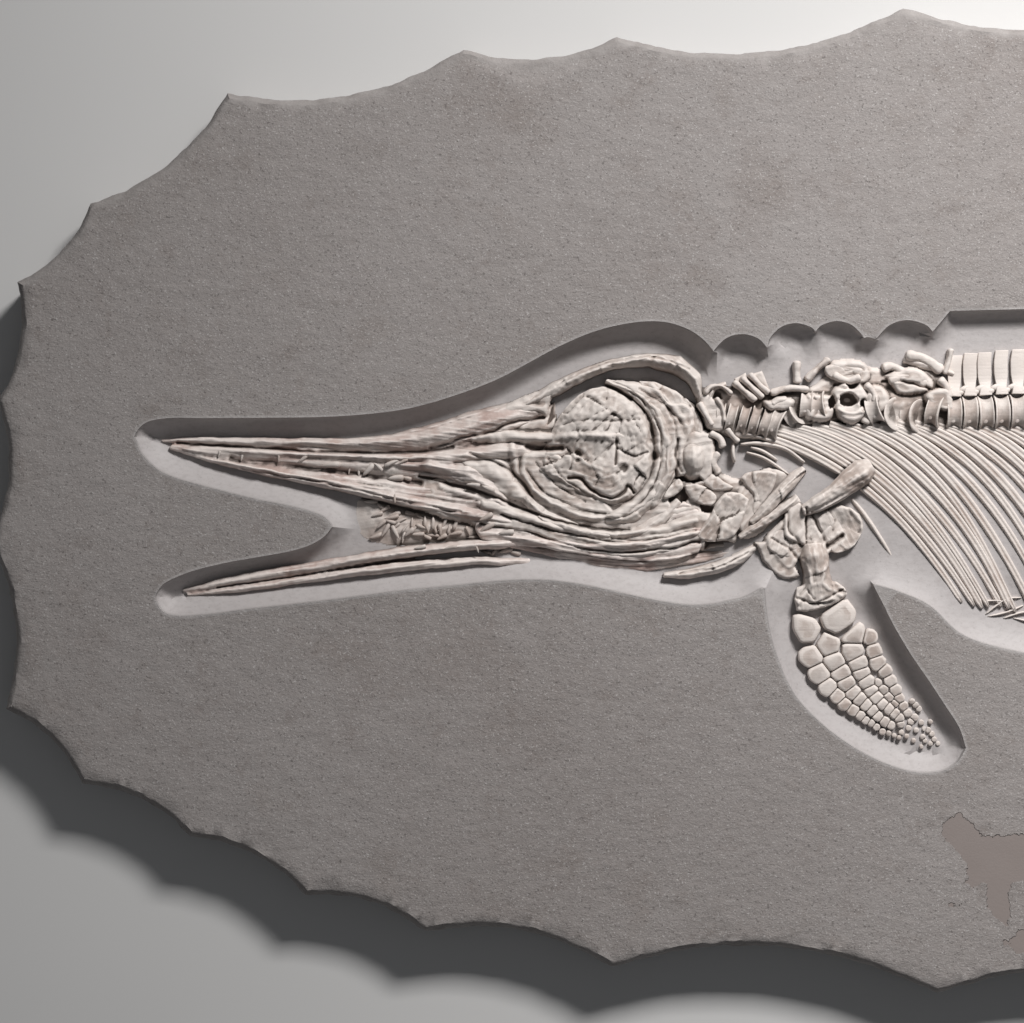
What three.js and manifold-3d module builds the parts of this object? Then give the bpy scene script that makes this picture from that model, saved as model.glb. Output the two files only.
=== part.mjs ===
// Fossil ichthyosaur skeleton in its shale slab, lying on its flat back with the bones facing up.
// Millimetres. +X runs from snout to tail, +Y towards the animal's back, +Z out of the slab's face.
// The origin is the middle of the slab's back.
import * as THREE from "three";
import { mergeVertices } from "three/addons/utils/BufferGeometryUtils.js";
import Module from "manifold-3d";

const wasm = await Module();
wasm.setup();

// Driving dimensions
const SKULL_LENGTH = 500; // snout tip to the back of the skull
const SLAB_THICK = 48;
const EDGE_CHAMFER = 7; // the broken front edge slopes back this far
const HEAD_DEPTH = 21; // how deep the stone is cleared around the skull
const TRUNK_DEPTH = 15; // and around the ribs, backbone and tail
const FIN_DEPTH = 18; // and around the fore fin
const COVE = 9; // radius of the hollow curve between a cleared floor and its wall
const GAP = 0.4; // clearance between neighbouring bones, and under each of them
const RIB_COUNT = 38;
const RIB_STRIDE = 2; // every second rib is a solid of its own
const VERTEBRA_PITCH = 14.4; // centrum length in the trunk

// Places are read from the photograph: one pixel is this much of the slab's face.
const SKULL_PIXELS = 555;
const MM_PER_PX = SKULL_LENGTH / SKULL_PIXELS;
const CENTRE_U = 1200; // photo pixel that lies over the origin
const CENTRE_V = 500;

const HEAD_FLOOR = SLAB_THICK - HEAD_DEPTH;
const TRUNK_FLOOR = SLAB_THICK - TRUNK_DEPTH;
const FIN_FLOOR = SLAB_THICK - FIN_DEPTH;

const BONE = new THREE.MeshStandardMaterial({ color: 0xb3a698, roughness: 0.6, metalness: 0 });
const JAW_BONE = new THREE.MeshStandardMaterial({ color: 0x9c8475, roughness: 0.5, metalness: 0 });
const SHALE = new THREE.MeshStandardMaterial({ color: 0x8a817c, roughness: 0.85, metalness: 0 });

// Solids

const place = ([u, v]) =>
  new THREE.Vector2((u - CENTRE_U) * MM_PER_PX, (CENTRE_V - v) * MM_PER_PX);

// A closed three.js geometry as a solid that can be joined and cut.
function solidOf(geometry) {
  geometry.deleteAttribute("normal");
  geometry.deleteAttribute("uv");
  const merged = mergeVertices(geometry, 1e-4);
  return new wasm.Manifold(
    new wasm.Mesh({
      numProp: 3,
      vertProperties: merged.attributes.position.array,
      triVerts: new Uint32Array(merged.index.array),
    }),
  );
}

function geometryOf(solid) {
  const mesh = solid.getMesh();
  return new THREE.BufferGeometry()
    .setAttribute("position", new THREE.BufferAttribute(mesh.vertProperties, 3))
    .setIndex(new THREE.BufferAttribute(mesh.triVerts, 1));
}

const join = (first, ...others) => others.reduce((sum, next) => sum.add(next), first);
const restOn = (solid, floor) => solid.trimByPlane([0, 0, 1], floor + GAP);
const largest = (solid) =>
  solid.decompose().reduce((best, body) => (body.volume() > best.volume() ? body : best));

// A bone that lies along a line: a cylinder bent along it, with a flat underside and an arched top.
// Each row of the spine is [u, v, half-width in pixels, height in mm].
function longBone(spine, floor, { grow = 0, arch = 5 } = {}) {
  const line = new THREE.CatmullRomCurve3(
    spine.map((row) => new THREE.Vector3(...place(row), 0)),
    false,
    "centripetal",
  );
  const girth = new THREE.CatmullRomCurve3(
    spine.map(([, , half, height]) => new THREE.Vector3(half * MM_PER_PX, height, 0)),
  );
  const geometry = new THREE.CylinderGeometry(1, 1, 1, arch, spine.length - 1);
  const points = geometry.attributes.position;
  for (let i = 0; i < points.count; i++) {
    const along = 0.5 - points.getY(i);
    const ahead = line.getTangent(along);
    const past = grow * (Math.round(along) === along ? 2 * along - 1 : 0);
    const centre = line.getPoint(along).addScaledVector(ahead, past);
    const size = girth.getPoint(along);
    const turn = Math.atan2(points.getX(i), points.getZ(i)) / (2 * Math.PI);
    const angle = (Math.PI * Math.round(((turn + 1) % 1) * arch)) / (arch - 1);
    const onRim = Math.hypot(points.getX(i), points.getZ(i)) > 0.5 ? 1 : 0;
    const across = onRim * Math.cos(angle) * (size.x + grow);
    const up = onRim ? Math.sin(angle) * (size.y + grow) - (grow ? GAP : 0) : size.y / 2;
    points.setXYZ(i, centre.x + ahead.y * across, centre.y - ahead.x * across, floor + GAP + up);
  }
  return solidOf(geometry);
}

// A closed outline that runs smoothly through its pixel points.
function smoothOutline(pixels, perPoint) {
  const loop = new THREE.CatmullRomCurve3(
    pixels.map((pixel) => new THREE.Vector3(...place(pixel), 0)),
    true,
    "centripetal",
  );
  const drawn = loop.getPoints(pixels.length * perPoint).slice(0, -1);
  return new THREE.Shape(drawn.map(({ x, y }) => new THREE.Vector2(x, y)));
}

// A flat bone with a rounded upper rim.
function plate(pixels, thick, floor, { grow = 0, rim = 1.5, perPoint = 2 } = {}) {
  const geometry = new THREE.ExtrudeGeometry(smoothOutline(pixels, perPoint), {
    depth: thick + grow,
    bevelThickness: rim,
    bevelSize: rim,
    bevelOffset: grow - rim,
    bevelSegments: 1,
  });
  geometry.translate(0, 0, floor - rim);
  return grow ? solidOf(geometry) : restOn(solidOf(geometry), floor);
}

// A rounded bone: the upper part of an ellipsoid.
function knob([u, v], halfU, halfV, height, floor, { grow = 0, turn = 0 } = {}) {
  const geometry = new THREE.SphereGeometry(1, 12, 8);
  const { x, y } = place([u, v]);
  geometry.scale(halfU * MM_PER_PX + grow, halfV * MM_PER_PX + grow, height + grow);
  geometry.rotateZ(turn);
  geometry.translate(x, y, floor);
  return grow ? solidOf(geometry) : restOn(solidOf(geometry), floor);
}

// Slab: scallops struck off all round, and the stone cleared down around the skeleton

// Tips between the scallops, clockwise from the left end.
const SLAB_TIPS = [
  [-12, 540], [-4, 400], [15, 281], [89, 202], [226, 91], [463, 47], [617, 35], [905, 6],
  [1185, -8], [1430, -2], [1660, 14], [1880, 44], [2080, 94], [2240, 176], [2345, 280],
  [2400, 410], [2412, 560], [2372, 690], [2282, 800], [2140, 884], [1960, 940], [1750, 984],
  [1500, 1003], [1225, 1008], [938, 995], [611, 969], [425, 934], [305, 897], [189, 838],
  [80, 785], [3, 710],
];
const SCALLOP_SAG = 0.1; // depth of a scallop over its width
const SCALLOP_STEPS = 4;

function slabOutline() {
  const points = SLAB_TIPS.flatMap((tip, i) => {
    const from = place(tip);
    const to = place(SLAB_TIPS[(i + 1) % SLAB_TIPS.length]);
    const chord = to.clone().sub(from);
    const inward = new THREE.Vector2(chord.y, -chord.x).multiplyScalar(2 * SCALLOP_SAG);
    const middle = from.clone().add(to).multiplyScalar(0.5).add(inward);
    return new THREE.QuadraticBezierCurve(from, middle, to).getPoints(SCALLOP_STEPS).slice(0, -1);
  });
  return new THREE.Shape(points);
}

// What is cleared away: an outline with a coved foot, from its floor up past the slab's face.
function clearing(pixels, floor, perPoint) {
  const geometry = new THREE.ExtrudeGeometry(smoothOutline(pixels, perPoint), {
    depth: SLAB_THICK,
    bevelThickness: COVE,
    bevelSize: COVE,
    bevelOffset: -COVE,
    bevelSegments: 2,
  });
  geometry.translate(0, 0, floor + COVE);
  return solidOf(geometry);
}

// One round scoop of the preparator's tool at the edge of the trunk clearing.
function scoop(u, v, radius) {
  const geometry = new THREE.SphereGeometry(1, 14, 6);
  const { x, y } = place([u, v]);
  geometry.scale(radius * MM_PER_PX, radius * MM_PER_PX, TRUNK_DEPTH);
  geometry.translate(x, y, SLAB_THICK);
  return solidOf(geometry);
}

const HEAD_CLEARING = [
  [134, 437], [150, 421], [200, 418], [320, 417], [400, 410], [450, 397], [500, 378], [550, 351],
  [590, 333], [630, 323], [665, 322], [695, 333], [716, 354], [740, 400], [770, 470], [785, 540],
  [762, 588], [728, 601], [690, 605], [640, 597], [590, 586], [545, 580], [500, 581], [460, 585],
  [400, 591], [330, 600], [250, 609], [190, 616], [165, 613], [155, 597], [168, 581], [220, 564],
  [270, 555], [310, 545], [332, 527], [318, 514], [260, 500], [200, 485], [157, 469],
];
const TRUNK_CLEARING = [
  [690, 370], [720, 352], [770, 352], [830, 348], [900, 344], [934, 330], [950, 311], [1024, 309],
  [1150, 306], [1300, 312], [1450, 330], [1600, 360], [1750, 390], [1880, 418], [1980, 440],
  [2060, 482], [2130, 538], [2200, 600], [2246, 660], [2226, 702], [2170, 694], [2100, 648],
  [2030, 600], [1950, 566], [1850, 548], [1750, 540], [1670, 548], [1650, 610], [1648, 680],
  [1618, 730], [1574, 734], [1530, 690], [1490, 640], [1430, 640], [1330, 666], [1230, 676],
  [1130, 672], [1024, 653], [965, 636], [930, 606], [900, 592], [860, 580], [800, 584], [750, 590],
  [720, 540], [700, 450],
];
const FIN_CLEARING = [
  [770, 560], [766, 610], [780, 665], [800, 702], [850, 745], [905, 770], [945, 770], [966, 748],
  [945, 705], [912, 656], [892, 622], [876, 590], [850, 552],
];
const NECK_SCOOPS = [
  [742, 366, 32], [796, 353, 30], [837, 351, 30], [868, 356, 19], [908, 356, 36],
];

function makeSlab() {
  const geometry = new THREE.ExtrudeGeometry(slabOutline(), {
    depth: SLAB_THICK,
    bevelThickness: EDGE_CHAMFER,
    bevelSize: EDGE_CHAMFER,
    bevelOffset: -EDGE_CHAMFER,
    bevelSegments: 1,
  });
  geometry.translate(0, 0, -EDGE_CHAMFER);
  return [
    clearing(HEAD_CLEARING, HEAD_FLOOR, 2),
    clearing(TRUNK_CLEARING, TRUNK_FLOOR, 1),
    clearing(FIN_CLEARING, FIN_FLOOR, 2),
    ...NECK_SCOOPS.map((row) => scoop(...row)),
  ].reduce((stone, cut) => stone.subtract(cut), solidOf(geometry).trimByPlane([0, 0, 1], 0));
}

// Skull: crushed flat on its left side, its bones listed from the uppermost down

const SKULL = {
  skull_roof: (g) =>
    longBone(
      [
        [524, 405, 5, 15], [556, 388, 8, 18], [586, 373, 7, 20], [612, 363, 6, 21],
        [648, 359, 8, 22], [678, 364, 11, 22], [696, 378, 9, 20], [701, 398, 4, 14],
      ],
      HEAD_FLOOR,
      g,
    ),
  postorbital: (g) =>
    join(
      longBone(
        [
          [606, 381, 4, 12], [634, 391, 8, 16], [657, 410, 11, 18], [668, 442, 12, 18],
          [667, 474, 11, 17], [654, 500, 10, 16], [632, 517, 8, 14], [606, 522, 5, 11],
        ],
        HEAD_FLOOR,
        g,
      ),
      plate(
        [[640, 380], [676, 390], [698, 410], [704, 436], [690, 446], [668, 440], [650, 405]],
        13,
        HEAD_FLOOR,
        g,
      ),
    ),
  occipital_condyle: (g) => knob([694, 459], 17, 22, 22, HEAD_FLOOR, g),
  jugal: (g) =>
    longBone(
      [
        [506, 470, 5, 11], [520, 494, 7, 13], [545, 516, 8, 14], [578, 530, 8, 14],
        [606, 537, 7, 13], [636, 533, 8, 13], [662, 520, 8, 12], [680, 500, 5, 10],
      ],
      HEAD_FLOOR,
      g,
    ),
  eye_plates: (g) =>
    plate(
      [
        [548, 440], [560, 414], [580, 394], [604, 386], [632, 398], [650, 424], [654, 462],
        [642, 492], [618, 504], [588, 498], [560, 484], [538, 470],
      ],
      14,
      HEAD_FLOOR,
      { rim: 5, ...g },
    ),
  snout: (g) =>
    join(
      longBone(
        [
          [158, 440, 1.5, 4], [200, 440, 4, 9], [280, 442, 5, 12], [345, 443, 6, 14],
          [387, 442, 9, 16], [429, 437, 13, 17], [471, 426, 16, 19], [513, 416, 16, 20],
          [546, 408, 9, 17],
        ],
        HEAD_FLOOR,
        g,
      ),
      longBone(
        [
          [168, 446, 2, 6], [230, 450, 4, 11], [320, 455, 4.5, 13], [400, 458, 5, 15],
          [460, 455, 8, 17], [515, 449, 11, 18], [548, 446, 8, 14],
        ],
        HEAD_FLOOR,
        g,
      ),
      longBone(
        [
          [166, 447, 2, 5], [210, 459, 4, 9], [260, 470, 5.5, 12], [344, 486, 7, 14],
          [400, 499, 8, 15], [457, 510, 8, 14], [510, 522, 8, 13], [556, 536, 5, 10],
        ],
        HEAD_FLOOR,
        g,
      ),
      longBone(
        [
          [392, 463, 4, 12], [430, 466, 8, 16], [466, 474, 11, 18], [492, 488, 10, 16],
          [508, 504, 7, 12],
        ],
        HEAD_FLOOR,
        g,
      ),
      plate(
        [
          [176, 447], [300, 448], [440, 440], [536, 420], [558, 440], [548, 486], [560, 520], [530, 530],
          [430, 502], [300, 474],
        ],
        9,
        HEAD_FLOOR,
        g,
      ),
    ),
  hind_jaw: (g) =>
    join(
      longBone(
        [
          [478, 530, 4, 9], [530, 540, 6, 12], [590, 547, 7, 14], [650, 545, 8, 15],
          [695, 533, 8, 14], [716, 526, 4, 10],
        ],
        HEAD_FLOOR,
        g,
      ),
      plate(
        [
          [476, 520], [540, 530], [620, 530], [660, 510], [676, 500], [696, 506], [708, 526], [700, 552],
          [650, 562], [590, 556], [540, 548], [480, 540],
        ],
        9,
        HEAD_FLOOR,
        g,
      ),
    ),
  lower_jaw: (g) =>
    join(
      longBone(
        [
          [180, 592, 1.5, 4], [215, 584, 5, 9], [260, 576, 6, 12], [344, 562, 6, 14],
          [400, 553, 7, 15], [450, 547, 6, 15], [510, 543, 6, 14], [556, 552, 6, 13],
          [602, 562, 6, 13], [650, 566, 6, 13], [695, 558, 6, 13], [732, 553, 4, 9],
        ],
        HEAD_FLOOR,
        g,
      ),
      longBone(
        [
          [184, 596, 1.5, 4], [240, 589, 4, 9], [300, 580, 5, 11], [344, 574, 5.5, 12],
          [400, 567, 6, 12], [471, 561, 5, 11], [530, 562, 4, 9],
        ],
        HEAD_FLOOR,
        g,
      ),
    ),
  angular: (g) =>
    longBone(
      [[664, 576, 3, 9], [690, 574, 6, 12], [718, 568, 7, 13], [742, 558, 7, 12], [758, 546, 4, 9]],
      HEAD_FLOOR,
      g,
    ),
  quadrate: (g) =>
    plate(
      [
        [721, 496], [733, 491], [750, 500], [744, 516], [735, 537], [718, 541], [701, 540], [699, 532],
        [712, 514],
      ],
      15,
      HEAD_FLOOR,
      g,
    ),
  stapes: (g) =>
    plate([[662, 497], [679, 478], [684, 486], [680, 492], [668, 499]], 13, HEAD_FLOOR, g),
  hyoid: (g) =>
    plate(
      [[685, 484], [700, 484], [714, 492], [718, 498], [713, 506], [692, 500]],
      13,
      HEAD_FLOOR,
      g,
    ),
  opisthotic: (g) =>
    plate(
      [[703, 479], [714, 473], [723, 480], [736, 487], [722, 491], [706, 486]],
      12,
      HEAD_FLOOR,
      g,
    ),
};

// Shoulder girdle and fore fin, from the uppermost down

const ON_RIBS = TRUNK_FLOOR + 8.5; // the shoulder blade lies across the ribs

const SHOULDER = {
  scapula: (g) =>
    longBone(
      [
        [803, 511, 6, 7], [816, 505, 9, 9], [836, 493, 10, 10], [852, 480, 13, 11], [864, 471, 14, 9],
        [873, 465, 8, 5],
      ],
      ON_RIBS,
      g,
    ),
  clavicle: (g) =>
    longBone(
      [[806, 469, 4, 9], [795, 478, 7, 12], [780, 494, 8, 13], [764, 512, 8, 11], [752, 524, 5, 8]],
      TRUNK_FLOOR,
      g,
    ),
  interclavicle: (g) =>
    longBone(
      [[800, 498, 6, 10], [784, 508, 7, 12], [766, 521, 7, 12], [750, 531, 5, 10], [740, 538, 3, 7]],
      TRUNK_FLOOR,
      g,
    ),
  throat_plate: (g) =>
    plate(
      [[741, 478], [758, 470], [778, 473], [773, 492], [764, 506], [755, 519], [753, 508], [755, 496]],
      8,
      TRUNK_FLOOR,
      g,
    ),
  humerus: (g) =>
    join(
      longBone(
        [[815, 543, 11, 11], [815, 556, 16, 15], [818, 573, 14, 14], [820, 588, 16, 13], [822, 602, 23, 12]],
        TRUNK_FLOOR,
        { arch: 7, ...g },
      ),
      plate([[798, 588], [838, 582], [849, 595], [822, 609], [798, 611]], 8, TRUNK_FLOOR, g),
    ),
  coracoid: (g) =>
    plate(
      [
        [818, 520], [842, 504], [861, 514], [864, 530], [856, 546], [844, 553], [832, 552], [824, 540],
      ],
      8,
      TRUNK_FLOOR,
      g,
    ),
  far_coracoid: (g) =>
    plate(
      [[786, 520], [802, 502], [812, 512], [816, 530], [806, 545], [796, 560], [780, 556], [768, 546]],
      7,
      TRUNK_FLOOR,
      g,
    ),
  radius: (g) =>
    plate(
      [[793, 622], [802, 615], [817, 619], [823, 630], [818, 642], [802, 645], [795, 634]],
      10,
      FIN_FLOOR,
      g,
    ),
  ulna: (g) =>
    plate(
      [[823, 616], [845, 600], [857, 607], [859, 620], [839, 634], [824, 627]],
      11,
      FIN_FLOOR,
      g,
    ),
  fore_fin: (g) =>
    plate(
      [
        [798, 648], [820, 645], [838, 637], [861, 624], [876, 634], [888, 654], [902, 678], [922, 704],
        [940, 726], [950, 744], [930, 750], [900, 744], [868, 724], [838, 703], [814, 680],
      ],
      9,
      FIN_FLOOR,
      { rim: 4, ...g },
    ),
};

// Hind fin, small in this animal

const HIP = {
  pelvis: (g) =>
    longBone([[1486, 506, 4, 7], [1500, 524, 6, 9], [1514, 544, 7, 9], [1520, 558, 4, 7]], TRUNK_FLOOR, g),
  femur: (g) =>
    longBone(
      [[1524, 566, 7, 9], [1532, 580, 7, 10], [1541, 596, 9, 9], [1547, 607, 12, 7]],
      TRUNK_FLOOR,
      g,
    ),
  hind_fin: (g) =>
    plate(
      [
        [1538, 618], [1562, 608], [1578, 632], [1594, 660], [1606, 690], [1600, 700], [1580, 688],
        [1556, 656],
      ],
      7,
      TRUNK_FLOOR,
      { rim: 3, ...g },
    ),
};

// Backbone: spool-shaped centra in a row, with their spines towards the back

// Rows of [u, v, centrum half-height in pixels] along the middle of the centra.
const SPINE_LINE = [
  [716, 410, 15], [770, 416, 16], [812, 404, 17], [850, 396, 18], [900, 408, 18], [950, 413, 18],
  [1024, 412, 19], [1150, 410, 20], [1300, 415, 20], [1450, 430, 19], [1600, 450, 17],
  [1750, 470, 14], [1880, 488, 12], [1960, 500, 10], [2010, 516, 9], [2070, 556, 7],
  [2130, 604, 5], [2196, 658, 2.5],
];
const spineLine = new THREE.CatmullRomCurve3(
  SPINE_LINE.map(([u, v, half]) => new THREE.Vector3(u, v, half)),
  false,
  "centripetal",
);
const spineLength = spineLine.getLength();
const onSpine = (distance) => spineLine.getPointAt(Math.min(1, distance / spineLength));

// Stretches of the backbone: name, where each starts and its vertebra count, in order from the neck.
const CENTRUM_WAIST = 0.84; // a centrum's middle over its rims
const SPINE_REACH = 3.2; // top of the neural spine over the centrum's half-height
const stretches = [];
let reached = 0;
for (const [name, count, pitch, hasSpines] of [
  ["neck_vertebrae", 6, 0.95, false],
  ["shoulder_vertebrae", 7, 1.3, false],
  ["back_vertebrae_1", 9, 1, true],
  ["back_vertebrae_2", 9, 1, true],
  ["back_vertebrae_3", 9, 1, true],
  ["loin_vertebrae", 8, 1, true],
  ["tail_vertebrae_1", 14, 0.9, false],
  ["tail_vertebrae_2", 15, 1, false],
  ["tail_vertebrae_3", 16, 1.08, false],
]) {
  const step = (pitch * VERTEBRA_PITCH) / MM_PER_PX;
  stretches.push({ name, count, step, from: reached, hasSpines });
  reached += count * step;
}

function neuralSpine(distance, step) {
  const foot = onSpine(distance);
  const ahead = onSpine(distance + 1).sub(onSpine(distance - 1)).normalize();
  const corner = (along, up) =>
    place([foot.x + along * ahead.x + up * ahead.y, foot.y + along * ahead.y - up * ahead.x]);
  const half = 0.42 * step;
  const shape = new THREE.Shape([
    corner(-half, 0.6 * foot.z),
    corner(half, 0.6 * foot.z),
    corner(half + 0.2 * step, SPINE_REACH * foot.z),
    corner(-half + 0.2 * step, SPINE_REACH * foot.z),
  ]);
  const geometry = new THREE.ExtrudeGeometry(shape, { depth: 5, bevelEnabled: false });
  geometry.translate(0, 0, TRUNK_FLOOR + GAP);
  return solidOf(geometry);
}

function backbone({ count, step, from, hasSpines }, { grow = 0 } = {}) {
  const rows = [];
  for (let i = 0; i <= 2 * count; i++) {
    const shy = i === 0 ? 1 : i === 2 * count ? -1 : 0;
    const { x, y, z } = onSpine(from + (i * step) / 2 + shy);
    const half = z * (i % 2 ? CENTRUM_WAIST : 1);
    rows.push([x, y, half, 1.05 * half * MM_PER_PX]);
  }
  const centra = longBone(rows, TRUNK_FLOOR, { grow });
  if (!hasSpines) return centra;
  const spines = Array.from({ length: count }, (_, i) => neuralSpine(from + (i + 0.5) * step, step));
  return join(centra, ...spines);
}

const BACKBONE = Object.fromEntries(stretches.map((row) => [row.name, (g) => backbone(row, g)]));

// Loose pieces of the neck, pushed out of line above it

const NECK = {
  atlas: (g) =>
    longBone([[728, 384, 3, 8], [714, 388, 4, 10], [708, 400, 4, 10], [711, 414, 3, 8]], TRUNK_FLOOR, g),
  neural_arch: (g) =>
    join(
      longBone([[836, 378, 4, 8], [850, 372, 5, 9], [862, 366, 4, 8]], TRUNK_FLOOR, g),
      plate([[826, 366], [842, 364], [848, 374], [838, 380], [828, 376]], 9, TRUNK_FLOOR, g),
    ),
  neck_spine_1: (g) =>
    plate([[735, 378], [747, 372], [756, 394], [744, 399]], 7, TRUNK_FLOOR, { perPoint: 1, ...g }),
  neck_spine_2: (g) =>
    plate([[751, 374], [763, 370], [771, 390], [760, 395]], 7, TRUNK_FLOOR, { perPoint: 1, ...g }),
  loose_spine: (g) =>
    longBone([[906, 358, 5, 6], [926, 364, 6, 8], [944, 368, 5, 8], [956, 374, 3, 6]], TRUNK_FLOOR, g),
};

// Ribs: each springs from under the backbone, runs back along it, and turns down to the belly

const FIRST_RIB_U = 762;
const RIB_SPACING_U = 17;
const CROWDED_RIBS = 6; // the first ribs close up towards their lower ends
const RIB_HEAD_V = 438;
const BELLY_V = 604;

const RIB_STEPS = 6;

// Half-width in pixels and height in mm at a fraction of a rib's length: thin towards the tip.
const ribGirth = (along) => {
  const swell = Math.sin(Math.PI * Math.min(1, 0.18 + along)) ** 0.5;
  return [1.4 + 3 * swell * (1 - 0.25 * along), 3 + 4.5 * swell];
};

function ribLine(index) {
  const startU = FIRST_RIB_U + RIB_SPACING_U * index;
  const crowded = Math.min(index, CROWDED_RIBS);
  const endU = 966 + 9 * crowded + 16.2 * (index - crowded);
  const shortening = Math.max(0, index - 26) / (RIB_COUNT - 26);
  const headV = Math.max(RIB_HEAD_V, onSpine(startU - SPINE_LINE[0][0]).y + 25);
  const startV = headV + CROWDED_RIBS - crowded;
  const endV = BELLY_V + 14 * Math.sin((Math.PI * index) / RIB_COUNT) - 70 * shortening ** 1.5;
  return new THREE.QuadraticBezierCurve(
    new THREE.Vector2(startU, startV),
    new THREE.Vector2(startU + 0.53 * (endU - startU), startV + 10),
    new THREE.Vector2(endU - 40 * shortening, endV),
  );
}

function rib(index) {
  const rows = ribLine(index)
    .getPoints(RIB_STEPS)
    .map(({ x, y }, i) => [x, y, ...ribGirth(i / RIB_STEPS)]);
  return longBone(rows, TRUNK_FLOOR);
}

// Assembly

const fossil = new THREE.Group();

function add(name, solid, material) {
  const mesh = new THREE.Mesh(geometryOf(solid), material);
  mesh.name = name;
  fossil.add(mesh);
}

// Bones that crowd together: each lower one is relieved where a higher one presses into it.
function addCrowded(bones, material) {
  const above = [];
  for (const [name, make] of Object.entries(bones)) {
    const cut = above.reduce((bone, higher) => bone.subtract(higher), make({}));
    above.push(make({ grow: 1.5 * GAP }));
    add(name, largest(cut), name.endsWith("jaw") || name === "snout" ? JAW_BONE : material);
  }
}

add("slab", makeSlab(), SHALE);
addCrowded(SKULL, BONE);
addCrowded(SHOULDER, BONE);
addCrowded(HIP, BONE);
addCrowded({ ...NECK, ...BACKBONE }, BONE);
for (let index = 0; index < RIB_COUNT; index += RIB_STRIDE) {
  add(`rib_${String(index + 1).padStart(2, "0")}`, rib(index), BONE);
}

export default fossil;
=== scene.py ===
import math
import random

import bmesh
import bpy
import numpy as np
from mathutils import Matrix, Vector, kdtree, noise
from mathutils.bvhtree import BVHTree
from mathutils.geometry import delaunay_2d_cdt


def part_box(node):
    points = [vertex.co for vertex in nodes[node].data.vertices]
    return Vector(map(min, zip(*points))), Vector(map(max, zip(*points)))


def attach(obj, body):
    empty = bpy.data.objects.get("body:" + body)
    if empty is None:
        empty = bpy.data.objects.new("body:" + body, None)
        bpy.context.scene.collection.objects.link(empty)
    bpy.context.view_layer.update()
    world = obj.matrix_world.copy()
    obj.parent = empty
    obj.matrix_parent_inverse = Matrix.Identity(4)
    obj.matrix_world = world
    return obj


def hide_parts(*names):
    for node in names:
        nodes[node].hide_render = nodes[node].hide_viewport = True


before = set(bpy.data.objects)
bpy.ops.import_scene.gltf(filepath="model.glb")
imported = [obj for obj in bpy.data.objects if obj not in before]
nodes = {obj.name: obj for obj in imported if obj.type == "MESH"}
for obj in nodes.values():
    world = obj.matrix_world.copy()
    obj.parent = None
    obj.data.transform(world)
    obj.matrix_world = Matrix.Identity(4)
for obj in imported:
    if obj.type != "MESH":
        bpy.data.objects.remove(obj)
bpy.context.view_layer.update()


# Slab
# A split sheet of grey shale, struck off in scallops all round, with the stone cleared down around
# the skeleton to a coved hollow. The face is weathered and speckled, the hollow brushed smooth.

SKULL_LENGTH = 0.5
SKULL_PIXELS = 555
PIXEL = SKULL_LENGTH / SKULL_PIXELS
CENTRE_PIXEL = np.array((1200.0, 500.0))
MM = 0.001


def at(pixels):
    """Places on the slab, in metres, of points read in photo pixels."""
    return (np.asarray(pixels, float)[..., :2] - CENTRE_PIXEL) * (PIXEL, -PIXEL)


def smooth_step(low, high, value):
    part = np.clip((value - low) / (high - low), 0, 1)
    return part * part * (3 - 2 * part)


def grain_noise(points, scale, seed=0.0):
    """Smooth noise between about -1 and 1 at each point; scale is cycles to the metre, one for each axis."""
    spots = np.column_stack((points, np.zeros((len(points), 3 - points.shape[1])))) * scale
    spots = spots @ np.array(Matrix.Rotation(0.9, 3, (0.5, 0.7, 0.6)))
    return np.array([noise.noise((x + seed, y - seed, z + 0.37 * seed)) for x, y, z in spots.tolist()])


def level_loops(node, height):
    """The closed outlines of a CAD node's level faces at one height, longest first."""
    mesh = bmesh.new()
    mesh.from_mesh(node.data)
    bmesh.ops.remove_doubles(mesh, verts=mesh.verts, dist=0.01 * MM)
    level = {
        face
        for face in mesh.faces
        if all(abs(corner.co.z - height) < 0.01 * MM for corner in face.verts)
    }
    following = {}
    for face in level:
        for corner in face.loops:
            if sum(near in level for near in corner.edge.link_faces) == 1:
                following[corner.vert.index] = corner.link_loop_next.vert.index
    places = {corner.index: corner.co.copy() for corner in mesh.verts}
    mesh.free()
    loops = []
    while following:
        first, step = following.popitem()
        loop = [first]
        while step != first:
            loop.append(step)
            step = following.pop(step)
        loops.append(np.array([places[index].xy for index in loop]))
    return sorted(loops, key=len, reverse=True)


def round_loop(points, spacing, corner_degrees=32):
    """A closed outline drawn smoothly through its points, with its sharp corners kept."""
    before = points - np.roll(points, 1, axis=0)
    after = np.roll(points, -1, axis=0) - points
    turn = np.arctan2(
        before[:, 0] * after[:, 1] - before[:, 1] * after[:, 0], (before * after).sum(axis=1)
    )
    sharp = np.abs(np.degrees(turn)) > corner_degrees
    drawn = []
    for i, (start, run) in enumerate(zip(points, after)):
        end = (i + 1) % len(points)
        leave = run if sharp[i] else (before[i] + run) / 2
        arrive = run if sharp[end] else (run + after[end]) / 2
        part = np.linspace(0, 1, max(2, round(np.linalg.norm(run) / spacing)), endpoint=False)[:, None]
        drawn.append(
            start * (2 * part**3 - 3 * part**2 + 1)
            + leave * (part**3 - 2 * part**2 + part)
            + (start + run) * (3 * part**2 - 2 * part**3)
            + arrive * (part**3 - part**2)
        )
    return np.vstack(drawn)


def inside(points, loop):
    """Which points lie inside a closed outline."""
    x, y = points.T
    odd = np.zeros(len(points), bool)
    for (x0, y0), (x1, y1) in zip(loop, np.roll(loop, -1, axis=0)):
        if y0 != y1:
            odd ^= ((y0 > y) != (y1 > y)) & (x < (x1 - x0) * (y - y0) / (y1 - y0) + x0)
    return odd


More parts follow.
